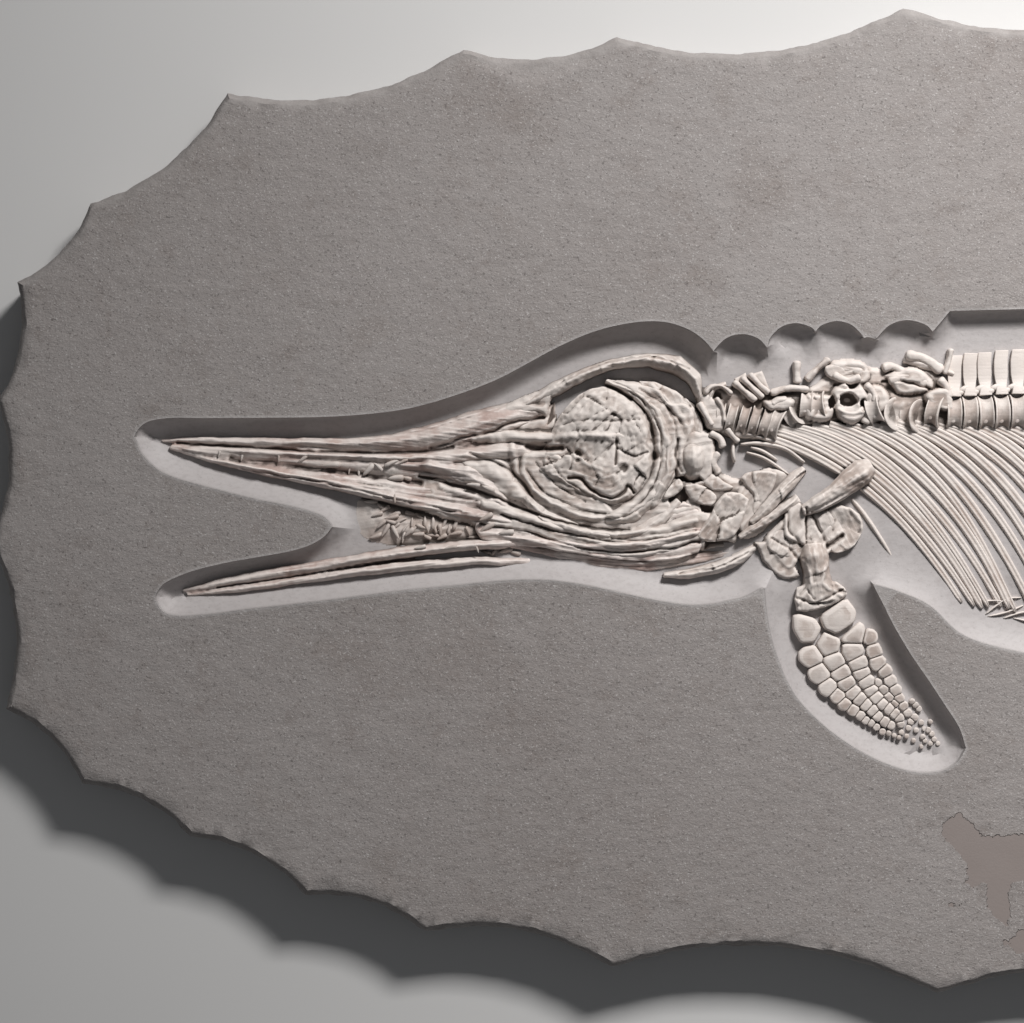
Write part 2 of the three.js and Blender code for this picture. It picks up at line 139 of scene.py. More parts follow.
def outward(loop):
    """Unit normals of an anticlockwise closed outline."""
    run = np.roll(loop, -1, axis=0) - np.roll(loop, 1, axis=0)
    run /= np.linalg.norm(run, axis=1)[:, None]
    return np.column_stack((run[:, 1], -run[:, 0]))


def anticlockwise(loop):
    x, y = loop.T
    return loop if (x * np.roll(y, -1) - y * np.roll(x, -1)).sum() > 0 else loop[::-1]


def piece_of(name, points, faces):
    """A new mesh object at the origin, with its place in its mesh."""
    mesh = bpy.data.meshes.new(name)
    mesh.from_pydata([tuple(point) for point in points], [], [tuple(face) for face in faces])
    mesh.update()
    made = bpy.data.objects.new(name, mesh)
    bpy.context.collection.objects.link(made)
    return made


def choose(*pieces):
    """Only these objects are selected, and the first is active."""
    bpy.ops.object.select_all(action="DESELECT")
    for piece in pieces:
        piece.select_set(True)
    bpy.context.view_layer.objects.active = pieces[0]


def tree_of(loop):
    """A search tree of an outline's points."""
    tree = kdtree.KDTree(len(loop))
    for index, (x, y) in enumerate(loop):
        tree.insert((x, y, 0), index)
    tree.balance()
    return tree


def gaps_to(tree, points):
    """Each point's distance from the nearest point of a search tree."""
    return np.array([tree.find((x, y, 0))[2] for x, y in points.tolist()])


def paint(piece, name, values):
    """Stores one number, or one vector, for each vertex as an attribute that the materials read."""
    values = np.asarray(values, np.float32)
    kind, field = ("FLOAT", "value") if values.ndim == 1 else ("FLOAT_VECTOR", "vector")
    piece.data.attributes.new(name, kind, "POINT").data.foreach_set(field, values.ravel())


slab_low, slab_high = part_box("slab")
FACE = slab_high[2]
HEAD_DEPTH = 21 * MM
TRUNK_DEPTH = 15 * MM
FIN_DEPTH = 18 * MM
RIB_BED = 3.6 * MM  # the stone between the ribs was left this much higher
FIN_BED = 3 * MM  # and so was the stone under the fore fin
COVE_WIDTH = 26 * MM  # the hollow's wall curves down to its floor over this distance
FACE_SPACING = 9 * MM
HOLLOW_SPACING = 6 * MM
EDGE_SPACING = 4 * MM

rim_loop = anticlockwise(round_loop(level_loops(nodes["slab"], 0.0)[0], EDGE_SPACING))
face_outlines = sorted(level_loops(nodes["slab"], FACE), key=lambda loop: np.ptp(loop[:, 0]))
lip_loop = anticlockwise(round_loop(face_outlines[0], 3.2 * MM))

# The struck edge slopes back unevenly, in ledges where the shale parted along its layers.
EDGE_RINGS = [
    (7.0, 48.0), (5.2, 46.8), (3.2, 44.6), (1.4, 41.5), (0.4, 36.0), (0.8, 27.0), (2.2, 16.0), (3.6, 0.0),
]
rim_out = outward(rim_loop)
rim_wave = 1.6 * grain_noise(rim_loop, 60, 3.1) + 0.9 * grain_noise(rim_loop, 170, 8.2)


def edge_ring(back, height):
    ledge = 1.3 * grain_noise(np.column_stack((rim_loop, np.full(len(rim_loop), height / 90))), 90, 5.5)
    room = np.clip(back + 0.55 * rim_wave + (ledge if height > 0 else 0), 0.0, None)
    return rim_loop - rim_out * room[:, None] * MM


face_loop = edge_ring(*EDGE_RINGS[0])
fine_lip = round_loop(lip_loop, 0.8 * MM)
hollow_tree = tree_of(fine_lip)


def from_lip(points):
    return gaps_to(hollow_tree, points)


def scattered(low, high, spacing, seed):
    """A grid of points with each one a little out of place, so that no rows show."""
    chance = np.random.default_rng(seed)
    columns, rows = np.ceil((np.asarray(high) - low) / spacing).astype(int)
    grid = np.stack(np.meshgrid(np.arange(columns), np.arange(rows)), axis=-1).reshape(-1, 2)
    return low + (grid + 0.5 + chance.uniform(-0.3, 0.3, grid.shape)) * spacing


# A flake has sprung off the upper edge, left of the middle of the photo.
EDGE_FLAKE = at([(464, 20), (596, 20), (594, 62), (562, 75), (528, 81), (494, 73), (468, 60)])

face_points = np.vstack((
    scattered(slab_low[:2], slab_high[:2], FACE_SPACING, 1),
    scattered(EDGE_FLAKE.min(axis=0), EDGE_FLAKE.max(axis=0), FACE_SPACING / 3, 4),
))
face_points = face_points[inside(face_points, face_loop) & ~inside(face_points, lip_loop)]
face_points = face_points[from_lip(face_points) > 5 * MM]
edge_tree = tree_of(face_loop)
face_points = face_points[gaps_to(edge_tree, face_points) > 4 * MM]
hollow_points = scattered(lip_loop.min(axis=0), lip_loop.max(axis=0), HOLLOW_SPACING, 2)
hollow_points = hollow_points[inside(hollow_points, lip_loop)]
hollow_points = hollow_points[from_lip(hollow_points) > COVE_WIDTH * 0.8]
lip_in = -outward(lip_loop)
cove_points = []
for reach in (1.0, 2.4, 4.4, 7.0, 10.0, 13.5, 17.5):
    ring = lip_loop[:: 1 if reach < 4 else 2] + lip_in[:: 1 if reach < 4 else 2] * reach * MM
    keep = from_lip(ring) > 0.85 * reach * MM
    cove_points.append(ring[keep & inside(ring, lip_loop)])
shoulder = lip_loop - lip_in * 1.6 * MM
shoulder = shoulder[(from_lip(shoulder) > 1.3 * MM) & ~inside(shoulder, lip_loop)]

sheet_points = np.vstack((face_loop, lip_loop, *cove_points, hollow_points, shoulder, face_points))
edge_count, lip_count = len(face_loop), len(lip_loop)
ring_edges = [(i, (i + 1) % edge_count) for i in range(edge_count)]
ring_edges += [(edge_count + i, edge_count + (i + 1) % lip_count) for i in range(lip_count)]
flat = delaunay_2d_cdt([Vector(point) for point in sheet_points.tolist()], ring_edges, [], 0, 1e-7)
sheet_points = np.array([tuple(point) for point in flat[0]])
sheet_faces = np.array(flat[2])
sheet_faces = sheet_faces[inside(sheet_points[sheet_faces].mean(axis=1), face_loop)]


def pixels_of(points):
    return points[:, :2] / (PIXEL, -PIXEL) + CENTRE_PIXEL


def floor_depth(points):
    """How deep the hollow's floor lies: deepest round the skull, shallow between the ribs."""
    u, v = pixels_of(points).T
    depth = HEAD_DEPTH + (TRUNK_DEPTH - HEAD_DEPTH) * smooth_step(700, 790, u)
    ribs = smooth_step(820, 900, u) * smooth_step(432, 470, v) * (1 - smooth_step(560, 640, v))
    depth = depth - RIB_BED * ribs
    fin_edge = 600 + 0.75 * np.maximum(0, u - 880)
    in_fin = smooth_step(-10, 20, v - fin_edge) * (u > 740) * (u < 985)
    depth = depth + (FIN_DEPTH - depth) * in_fin
    along_fin = np.clip((v - 640) / 100, 0, 1)
    beside_fin = np.abs(u - (830 + 84 * along_fin + 14 * along_fin**2)) - (34 - 16 * along_fin)
    under_fin = (1 - smooth_step(-4, 4, beside_fin)) * smooth_step(612, 640, v) * (v < 752) * (u < 985)
    return depth - FIN_BED * under_fin


def lip_above(points):
    """Where the nearest lip lies: 1 straight up the slab, -1 straight down it."""
    found = [hollow_tree.find((x, y, 0)) for x, y in points.tolist()]
    rise = np.array([spot[1] for spot, index, gap in found]) - points[:, 1]
    return rise / np.maximum([gap for spot, index, gap in found], 1e-6)


def cove_width(points):
    """The wall's reach: wider where the belly's stone slopes up gently, steep along the back."""
    u, v = pixels_of(points).T
    belly = smooth_step(860, 900, u) * (v > 540) * (v < 600 + 0.75 * np.maximum(0, u - 880))
    return COVE_WIDTH * (1 + 0.5 * belly) * (1 - 0.35 * smooth_step(0.1, 0.8, lip_above(points)))


in_hollow = inside(sheet_points, lip_loop)
in_hollow[edge_count : edge_count + lip_count] = True
lip_distance = from_lip(sheet_points)
edge_distance = gaps_to(edge_tree, sheet_points)
wall = np.clip(lip_distance / cove_width(sheet_points), 0, 1)
floor_wave = 0.5 * grain_noise(sheet_points, 22, 1.7) + 0.2 * grain_noise(sheet_points, 90, 4.4)
curve = 0.55 * np.sqrt(1 - (1 - wall) ** 2) + 0.45 * np.sin(math.pi / 2 * wall)
dug = floor_depth(sheet_points) * curve + floor_wave * wall * MM
weather = 0.4 * grain_noise(sheet_points, 10, 6.1) + 0.25 * grain_noise(sheet_points, 45, 2.9)
chips = np.clip(grain_noise(sheet_points, 38, 7.7) - 0.05, 0, 1)
chips *= 1 - smooth_step(0, 22 * MM, edge_distance)
in_flake = inside(sheet_points, EDGE_FLAKE)
flake_rim = round_loop(EDGE_FLAKE, 2 * MM)
rim_gap = np.min(np.linalg.norm(sheet_points[in_flake][:, None] - flake_rim[None], axis=2), axis=1)
sprung = np.zeros(len(sheet_points))
sprung[in_flake] = 1.3 * smooth_step(0, 3 * MM, rim_gap) + 1.3 * smooth_step(8 * MM, 11 * MM, rim_gap)
sheet_heights = FACE - np.where(in_hollow, dug, (2.2 * chips + sprung - weather) * MM)

rings = [
    np.column_stack((edge_ring(*ring), (ring[1] - drop * sprung[:edge_count]) * MM))
    for ring, drop in zip(EDGE_RINGS[1:], (0.9, 0.5, 0.15, 0, 0, 0, 0))
]
slab_points = np.vstack((np.column_stack((sheet_points, sheet_heights)), *rings))
slab_faces = sheet_faces.tolist()
for level in range(len(rings)):
    above = len(sheet_points) + (level - 1) * edge_count if level else 0
    below = len(sheet_points) + level * edge_count
    for i in range(edge_count):
        after = (i + 1) % edge_count
        slab_faces.append((above + i, below + i, below + after, above + after))
slab_faces.append(tuple(reversed(range(len(slab_points) - edge_count, len(slab_points)))))

slab = piece_of("shale_slab", slab_points, slab_faces)
choose(slab)
bpy.ops.object.shade_smooth_by_angle(angle=math.radians(38))
spare = len(slab_points) - len(sheet_points)
paint(slab, "cleared", np.concatenate((in_hollow * smooth_step(0, 0.6 * MM, lip_distance), np.zeros(spare))))
paint(slab, "lip", np.concatenate((np.where(in_hollow, 1, -1) * lip_distance, np.full(spare, -1))))
rim_wear = np.maximum(1 - smooth_step(0, 9 * MM, edge_distance), 0.4 * sprung)
paint(slab, "edge", np.concatenate((rim_wear, np.ones(spare))))

# Thin flakes of the top layer have come away at the lower right, and left smooth brown patches.
FLAKES = [
    [(936, 828), (960, 812), (983, 836), (1024, 834), (1050, 850), (1046, 890), (1016, 880), (1008, 890),
     (1012, 922), (1000, 925), (988, 905), (987, 880), (966, 893), (967, 862), (947, 841)],
    [(1004, 944), (1024, 928), (1052, 934), (1040, 952), (1016, 954)],
    [(947, 903), (976, 905), (974, 910), (950, 909)],
    [(1420, 180), (1450, 168), (1486, 176), (1478, 200), (1440, 204)],
    [(1840, 800), (1880, 786), (1920, 802), (1896, 826), (1850, 822)],
]
flaked = np.full(len(slab_points), -0.1)
for outline in FLAKES:
    patch = round_loop(at(outline), 2 * MM)
    gap = gaps_to(tree_of(patch), slab_points[:, :2])
    flaked = np.maximum(flaked, np.where(inside(slab_points[:, :2], patch), gap, -gap))
paint(slab, "flaked", flaked)


class Shade:
    """A socket in a material: sums on it add Math nodes, and node() adds any other node."""

    def __init__(self, tree, socket=None):
        self.tree = tree
        self.socket = socket

    def node(self, kind, settings, sockets, output=0):
        made = self.tree.nodes.new(kind)
        for name, value in settings.items():
            setattr(made, name, value)
        for name, value in sockets.items():
            if isinstance(value, Shade):
                self.tree.links.new(value.socket, made.inputs[name])
            else:
                made.inputs[name].default_value = value
        return Shade(self.tree, made.outputs[output])

    def math(self, operation, first, second=0.0):
        return self.node("ShaderNodeMath", {"operation": operation}, {0: first, 1: second})

    def __add__(self, other):
        return self.math("ADD", self, other)

    def __sub__(self, other):
        return self.math("SUBTRACT", self, other)

    def __rsub__(self, other):
        return self.math("SUBTRACT", other, self)

    def __mul__(self, other):
        return self.math("MULTIPLY", self, other)

    def __pow__(self, other):
        return self.math("POWER", self, other)

    __radd__ = __add__
    __rmul__ = __mul__

    def ramp(self, low, high):
        """0 below low, 1 above high, and an even curve between."""
        sockets = {0: self, 1: low, 2: high}
        return self.node("ShaderNodeMapRange", {"interpolation_type": "SMOOTHSTEP"}, sockets)

    def mix(self, first, second):
        """A colour that goes from first to second as this goes from 0 to 1."""
        return self.node("ShaderNodeMix", {"data_type": "RGBA"}, {0: self, 6: first, 7: second}, 2)

    def stored(self, name, output=2):
        return self.node("ShaderNodeAttribute", {"attribute_name": name}, {}, output)

    def cloud(self, coords, scale, detail=3.0, roughness=0.55):
        sockets = {"Vector": coords, "Scale": scale, "Detail": detail, "Roughness": roughness}
        return self.node("ShaderNodeTexNoise", {}, sockets)

    def stretch(self, coords, scale):
        return self.node("ShaderNodeVectorMath", {"operation": "MULTIPLY"}, {0: coords, 1: scale})


def new_material(name):
    """A material with one Principled shader, and a Shade to build on its tree."""
    made = bpy.data.materials.new(name)
    made.use_nodes = True
    return made, made.node_tree.nodes["Principled BSDF"], Shade(made.node_tree)


def feed(principled, name, shade):
    shade.tree.links.new(shade.socket, principled.inputs[name])


def feed_bump(principled, height, strength):
    """Small relief in the shading alone, from heights in metres."""
    sockets = {"Height": height, "Distance": 1.0, "Strength": strength}
    feed(principled, "Normal", height.node("ShaderNodeBump", {}, sockets))


def shale_material():
    shale, surface, pen = new_material("shale")
    spot = pen.node("ShaderNodeTexCoord", {}, {}, "Object")
    cleared = pen.stored("cleared")
    lip = pen.stored("lip")
    edge = pen.stored("edge")
    broad = pen.cloud(spot, 2.4, 4)
    blotch = pen.cloud(spot, 17, 5, 0.65)
    fine = pen.cloud(spot, 240, 3, 0.7)
    speck = pen.cloud(spot, 640, 1)
    dust = pen.cloud(spot, 410, 2)
    brushed = pen.cloud(pen.stretch(spot, (1, 1.6, 1)), 150, 3)
    face = broad.ramp(0.3, 0.7).mix((0.262, 0.236, 0.226, 1), (0.300, 0.275, 0.266, 1))
    face = (blotch.ramp(0.52, 0.78) * 0.55).mix(face, (0.215, 0.182, 0.166, 1))
    face = (pen.cloud(spot, 52, 5, 0.62).ramp(0.54, 0.74) * 0.4).mix(face, (0.19, 0.160, 0.147, 1))
    face = (pen.cloud(spot, 6.5, 7, 0.72).ramp(0.50, 0.70) * 0.42).mix(face, (0.205, 0.172, 0.158, 1))
    face = (fine.ramp(0.35, 0.75) * 0.35).mix(face, (0.36, 0.335, 0.325, 1))
    face = (speck.ramp(0.62, 0.72) * 0.7).mix(face, (0.50, 0.48, 0.47, 1))
    face = (dust.ramp(0.60, 0.70) * 0.6).mix(face, (0.105, 0.092, 0.088, 1))
    flaked = pen.stored("flaked") + (pen.cloud(spot, 190, 3) - 0.5) * 0.008
    bare = flaked.ramp(-0.0002, 0.0004)
    face = bare.mix(face, blotch.mix((0.235, 0.198, 0.183, 1), (0.275, 0.236, 0.223, 1)))
    rough_edge = (pen.cloud(spot, 60, 5, 0.7)).mix((0.17, 0.15, 0.142, 1), (0.42, 0.395, 0.385, 1))
    face = (edge.ramp(0.45, 0.95) * 0.8).mix(face, rough_edge)
    hollow = broad.ramp(0.3, 0.7).mix((0.405, 0.378, 0.374, 1), (0.455, 0.428, 0.424, 1))
    hollow = (brushed.ramp(0.4, 0.8) * 0.4).mix(hollow, (0.29, 0.264, 0.258, 1))
    hollow = (dust.ramp(0.62, 0.72) * 0.25).mix(hollow, (0.16, 0.14, 0.135, 1))
    # A thin paler line along the hollow's lip, on both sides of it: partly wear of the cut edge, partly a painted
    # highlight.
    pale_lip_line = (1 - lip.math("ABSOLUTE", lip).ramp(0.0006, 0.0030)) * 0.55
    colour = cleared.mix(face, hollow)
    colour = pale_lip_line.mix(colour, (0.42, 0.40, 0.395, 1))
    feed(surface, "Base Color", colour)
    feed(surface, "Roughness", 0.78 - cleared * 0.16 - bare * 0.12)
    scuff = pen.cloud(pen.stretch(spot, (1, 1.5, 1)), 34, 7, 0.72) * (1 - cleared) * (1 - bare)
    grit = (fine * 0.5 + speck * 0.5) * (1 - bare * 0.7) * (1 - cleared * 0.8)
    height = grit * 0.00055 + scuff * 0.0022 + blotch * 0.0005 - bare * 0.0006 + brushed * cleared * 0.0002
    feed_bump(surface, height, 0.9)
    return shale


slab.data.materials.append(shale_material())
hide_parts("slab")
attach(slab, "root")


# Skull
# Crushed on its side: the snout's long strips, the roof and the strap round the eye, the broken eye
# plates, and the bones of the throat. Mineralised bone, freed from the stone and left standing in it.


def bone_from(node, name, fineness=1.2 * MM, passes=5):
    """A bone grown from its CAD solid, its facets melted into a fine even skin that takes relief."""
    bone = bpy.data.objects.new(name, nodes[node].data.copy())
    bpy.context.collection.objects.link(bone)
    bone.data.materials.clear()
    choose(bone)
    bpy.ops.object.mode_set(mode="EDIT")
    bpy.ops.mesh.select_all(action="SELECT")
    bpy.ops.mesh.remove_doubles(threshold=0.01 * MM)
    bpy.ops.object.mode_set(mode="OBJECT")
    skin = bone.modifiers.new("skin", "REMESH")
    skin.mode = "VOXEL"
    skin.voxel_size = fineness
    melt = bone.modifiers.new("melt", "SMOOTH")
    melt.factor = 0.5
    melt.iterations = passes
    for step in ("skin", "melt"):
        bpy.ops.object.modifier_apply(modifier=step)
    places = places_of(bone)
    places[:, :2] += 0.6 * (warped(places[:, :2]) - places[:, :2])
    move_points(bone, places)
    return bone


def places_of(bone):
    flat_list = np.empty(3 * len(bone.data.vertices), np.float32)
    bone.data.vertices.foreach_get("co", flat_list)
    return flat_list.reshape(-1, 3).astype(float)


def move_points(bone, places):
    bone.data.vertices.foreach_set("co", places.astype(np.float32).ravel())
    bone.data.update()


def normals_of(bone):
    flat_list = np.empty(3 * len(bone.data.vertices), np.float32)
    bone.data.vertices.foreach_get("normal", flat_list)
    return flat_list.reshape(-1, 3)


def facing_up(bone):
    """1 where the bone faces the viewer, 0 on its flanks."""
    return smooth_step(0.05, 0.5, normals_of(bone)[:, 2])


def along_line(line, points):
    """Each point's distance from a drawn line, and how far along the line it lies."""
    nearest = np.full(len(points), np.inf)
    along = np.zeros(len(points))
    reached = 0.0
    for start, end in zip(line[:-1], line[1:]):
        run = end - start
        length = max(np.linalg.norm(run), 1e-9)
        part = np.clip((points - start) @ run / length**2, 0, 1)
        gap = np.linalg.norm(points - start - part[:, None] * run, axis=1)
        nearer = gap < nearest
        nearest[nearer] = gap[nearer]
        along[nearer] = reached + part[nearer] * length
        reached += length
    return nearest, along


def open_curve(points, spacing=2 * MM):
    """A smooth open line through points read in photo pixels."""
    line = at(points)
    if len(line) < 3:
        return line
    knots = np.vstack((2 * line[0] - line[1], line, 2 * line[-1] - line[-2]))
    drawn = []
    for p0, p1, p2, p3 in zip(knots, knots[1:], knots[2:], knots[3:]):
        part = np.linspace(0, 1, max(2, round(np.linalg.norm(p2 - p1) / spacing)), endpoint=False)[:, None]
        drawn.append(
            0.5 * (2 * p1 + (p2 - p0) * part + (2 * p0 - 5 * p1 + 4 * p2 - p3) * part**2
                   + (3 * p1 - p0 - 3 * p2 + p3) * part**3)
        )
    return np.vstack((*drawn, line[-1:]))


def warped(points):
    """The same places, shaken a little, so that what is drawn through them has no ruled lines."""
    shake = [
        1.5 * grain_noise(points, 55, seed) + 0.8 * grain_noise(points, 150, seed + 2) for seed in (3.1, 9.4)
    ]
    return points + np.column_stack(shake) * MM


def stroke_lift(points, strokes):
    """The lift in mm at each point of ridges (more than nothing) and grooves along drawn lines."""
    lift = np.zeros(len(points))
    points = warped(points)
    for drawn, half_width, height in strokes:
        line = open_curve(drawn) if len(drawn) > 1 else np.vstack((at(drawn), at(drawn) + 1e-6))
        low = line.min(axis=0) - half_width * PIXEL
        high = line.max(axis=0) + half_width * PIXEL
        near = np.all((points > low) & (points < high), axis=1)
        gap, _ = along_line(line, points[near])
        lift[near] += height * np.clip(1 - (gap / (half_width * PIXEL)) ** 2, 0, 1) ** 1.5
    return lift * (0.85 + 0.55 * grain_noise(points, 48, 5.2))


def work(bone, strokes, seed, roughness, grain, strands, broad=0.6):
    """Works relief into a bone: ridges and grooves along drawn lines, then strands and pits.

    A stroke is (points in photo pixels, half-width in pixels, height in mm). grain is the line that the
    bone's strands follow.
    """
    places = places_of(bone)
    up = facing_up(bone)
    lift = stroke_lift(places[:, :2], strokes)
    gap, along = along_line(open_curve(grain, 6 * MM), places[:, :2])
    strand_spots = np.column_stack((along * 14, gap * 330, np.full(len(places), seed * 3.7)))
    lift += strands * grain_noise(strand_spots, 1.0, seed)
    lift += 0.8 * strands * grain_noise(strand_spots, (2.3, 2.2, 1), seed + 4)
    lift += roughness * grain_noise(places, 90, seed) + 0.6 * roughness * grain_noise(places, 260, seed + 9)
    lift += broad * grain_noise(places[:, :2], 26, seed + 2)
    places[:, 2] += up * lift * MM
    move_points(bone, places)
    store_relief(bone)
    paint(bone, "grain", np.column_stack((along, gap, np.full(len(places), seed))))


def store_relief(bone, rounds=14):
    """Stores how far each point stands out of, or lies in, the surface round it, for the painted highlights and
    shade.
    """
    places = places_of(bone)
    edges = np.empty(2 * len(bone.data.edges), np.int32)
    bone.data.edges.foreach_get("vertices", edges)
    first, second = edges.reshape(-1, 2).T
    count = len(places)
    links = np.bincount(np.concatenate((first, second)), minlength=count)[:, None]
    soft = places.copy()
    for _ in range(rounds):
        total = np.empty_like(soft)
        for axis in range(3):
            total[:, axis] = np.bincount(first, soft[second, axis], count) + np.bincount(
                second, soft[first, axis], count
            )
        soft = 0.4 * soft + 0.6 * total / np.maximum(links, 1)
    paint(bone, "relief", ((places - soft) * normals_of(bone)).sum(axis=1) / MM)


def bone_material(name, ivory, warm, dark, gloss=0.5):
    bone, surface, pen = new_material(name)
    spot = pen.node("ShaderNodeTexCoord", {}, {}, "Object")
    relief = pen.stored("relief")
    grain = pen.stored("grain", 1)
    patch = pen.cloud(spot, 26, 4)
    tint = pen.cloud(spot, 75, 4, 0.6)
    strand = pen.cloud(pen.stretch(grain, (22, 520, 1)), 1.0, 4, 0.6)
    fine = pen.cloud(spot, 520, 3, 0.7)
    colour = patch.ramp(0.38, 0.66).mix(ivory, warm)
    colour = (tint.ramp(0.5, 0.75) * 0.4).mix(colour, tuple(0.72 * part for part in warm[:3]) + (1,))
    colour = (strand.ramp(0.54, 0.74) * 0.22).mix(colour, tuple(0.6 * part for part in warm[:3]) + (1,))
    # Painted highlight: the bone is made paler where it stands out of the surface round it, on ridges and rims.
    pale = tuple(min(1, 1.18 * part) for part in ivory[:3]) + (1,)
    colour = ((relief + (fine - 0.5) * 0.3).ramp(0.04, 0.6) * 0.8).mix(colour, pale)
    # Painted shade, with the dark of the bone's cracks: points that lie in hollows of their own surface, or below
    # the bones round them, go dark brown.
    sunk = (0 - relief + (fine - 0.5) * 0.4).ramp(0.12, 0.95)
    shade = (pen.stored("crevice_shade") + (tint - 0.5) * 0.25).ramp(0.12, 0.75)
    sunk = sunk.math("MAXIMUM", sunk, shade * 0.95)
    colour = (sunk * 0.9).mix(colour, dark)
    feed(surface, "Base Color", colour)
    feed(surface, "Roughness", gloss + tint * 0.22 + sunk * 0.2)
    height = strand * 0.00035 + fine * 0.00025 + tint * 0.0003
    feed_bump(surface, height, 0.8)
    return bone


pale_bone = bone_material(
    "pale_bone", (0.60, 0.545, 0.51, 1), (0.43, 0.352, 0.312, 1), (0.055, 0.04, 0.032, 1)
)
jaw_bone = bone_material(
    "jaw_bone", (0.64, 0.575, 0.54, 1), (0.45, 0.338, 0.302, 1), (0.075, 0.053, 0.044, 1), gloss=0.42
)


def fix(bone, finish, slot, *replaced):
    """Gives a finished bone its material and its place on the slab."""
    choose(bone)
    bpy.ops.object.shade_smooth()
    bone.data.materials.append(finish)
    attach(bone, "root")
    if replaced:
        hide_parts(*replaced)


SNOUT_GRAIN = [(158, 441), (300, 452), (420, 462), (560, 480)]
EYE_RING = [
    (546, 420), (575, 386), (612, 372), (650, 388), (672, 430), (670, 474), (646, 508), (606, 524), (560, 512),
]
JAW_GRAIN = [(180, 594), (300, 574), (420, 556), (520, 548), (640, 560), (760, 546)]
HEAD_FLOOR = FACE - HEAD_DEPTH

# Ridges, cracks and pits of the crushed skull, worked through every bone that they cross.
SKULL_RELIEF = [  # line in photo pixels, half-width in pixels, height in mm
    ([(176, 442), (260, 448), (344, 452), (415, 452), (452, 447)], 2.6, -4.0),
    ([(430, 447), (485, 432), (520, 420), (545, 416)], 2.8, -4.0),
    ([(300, 438), (400, 433), (470, 417), (535, 396)], 1.8, -1.4),
    ([(240, 468), (320, 482), (400, 500), (460, 512)], 2.0, -2.0),
    ([(230, 459), (300, 467), (360, 474), (420, 484)], 5.0, -3.4),
    ([(330, 469), (390, 477), (450, 487)], 7.0, -2.0),
    ([(168, 454), (240, 465), (300, 476), (360, 485), (420, 494), (480, 503)], 2.0, 1.5),
    ([(430, 462), (470, 464), (505, 480), (520, 494)], 9, 3.5),
    ([(470, 452), (510, 470), (530, 492)], 2.2, -3.0),
    ([(420, 476), (470, 488), (515, 505), (550, 518), (594, 529), (630, 530)], 2.2, -4.5),
    ([(440, 486), (500, 504), (550, 524), (600, 533), (660, 530), (696, 520)], 4.0, 3.0),
    ([(480, 503), (534, 522), (587, 538), (623, 543), (660, 538), (695, 532)], 4.5, 3.0),
    ([(500, 514), (560, 532), (612, 541), (650, 540), (696, 530)], 1.7, -3.5),
    ([(480, 524), (530, 533), (570, 545), (612, 552), (660, 550), (700, 542)], 1.8, -4.0),
    ([(480, 533), (534, 541), (569, 553), (614, 561), (650, 563), (690, 557)], 4.0, 2.5),
    ([(215, 588), (300, 576), (400, 560), (470, 553)], 1.6, -2.4),
    ([(680, 574), (720, 567), (750, 553)], 1.6, -2.2),
    ([(512, 446), (515, 462), (522, 478), (538, 496), (562, 510), (596, 518), (620, 518)], 4.5, 3.5),
    ([(526, 470), (545, 492), (575, 507), (606, 514)], 1.6, -2.4),
    ([(536, 462), (556, 484), (586, 502)], 1.3, -1.6),
    ([(548, 458), (566, 480), (596, 500)], 1.3, -1.6),
    ([(612, 385), (640, 397), (656, 420), (662, 452), (654, 486), (630, 511)], 1.8, -2.4),
    ([(640, 388), (668, 408), (678, 436), (676, 470), (658, 502)], 1.5, -1.6),
    ([(652, 384), (678, 412), (690, 434)], 4.0, 2.0),
    ([(660, 396), (684, 426)], 1.4, -1.8),
    ([(556, 384), (600, 365), (650, 356), (690, 369)], 1.6, -1.6),
    ([(604, 440)], 66, 6.0),
    ([(594, 410)], 46, 5.0),
    ([(600, 474)], 34, 3.0),
    ([(637, 413)], 13, 3.0),
    ([(633, 426)], 11, 2.0),
    ([(480, 435), (551, 437), (587, 435), (614, 437)], 5.5, 3.0),
    ([(528, 447), (545, 449), (562, 448)], 4.2, -6.0),
    ([(551, 428), (580, 420), (606, 421), (640, 419)], 1.6, -1.4),
    ([(586, 396), (600, 404), (616, 416)], 1.5, -1.6),
    ([(606, 430), (612, 420), (618, 412)], 1.2, -1.4),
    ([(616, 434), (617, 450), (616, 464)], 1.7, -4.0),
    ([(618, 448), (634, 456), (648, 452)], 1.7, -3.0),
    ([(566, 447), (572, 458), (570, 470)], 1.4, -2.0),
    ([(569, 478), (580, 480), (594, 492), (610, 499), (622, 494), (628, 486), (634, 492)], 2.4, -5.0),
    ([(578, 454)], 5, -5.0),
    ([(577, 461)], 4, -3.5),
    ([(623, 468)], 7, -5.0),
    ([(618, 474)], 4, -3.5),
    ([(656, 456)], 6.5, -6.5),
    ([(640, 474), (634, 486)], 1.3, -2.2),
    ([(603, 382), (616, 388), (632, 398)], 3.2, -7.0),
    ([(646, 400), (652, 424), (650, 440)], 5, -1.6),
    ([(694, 456)], 17, 4.0),
    ([(680, 440), (676, 456), (682, 472)], 2.0, -3.0),
    ([(690, 390)], 5, -5.0),
    ([(684, 396), (690, 406)], 2.5, -4.0),
]
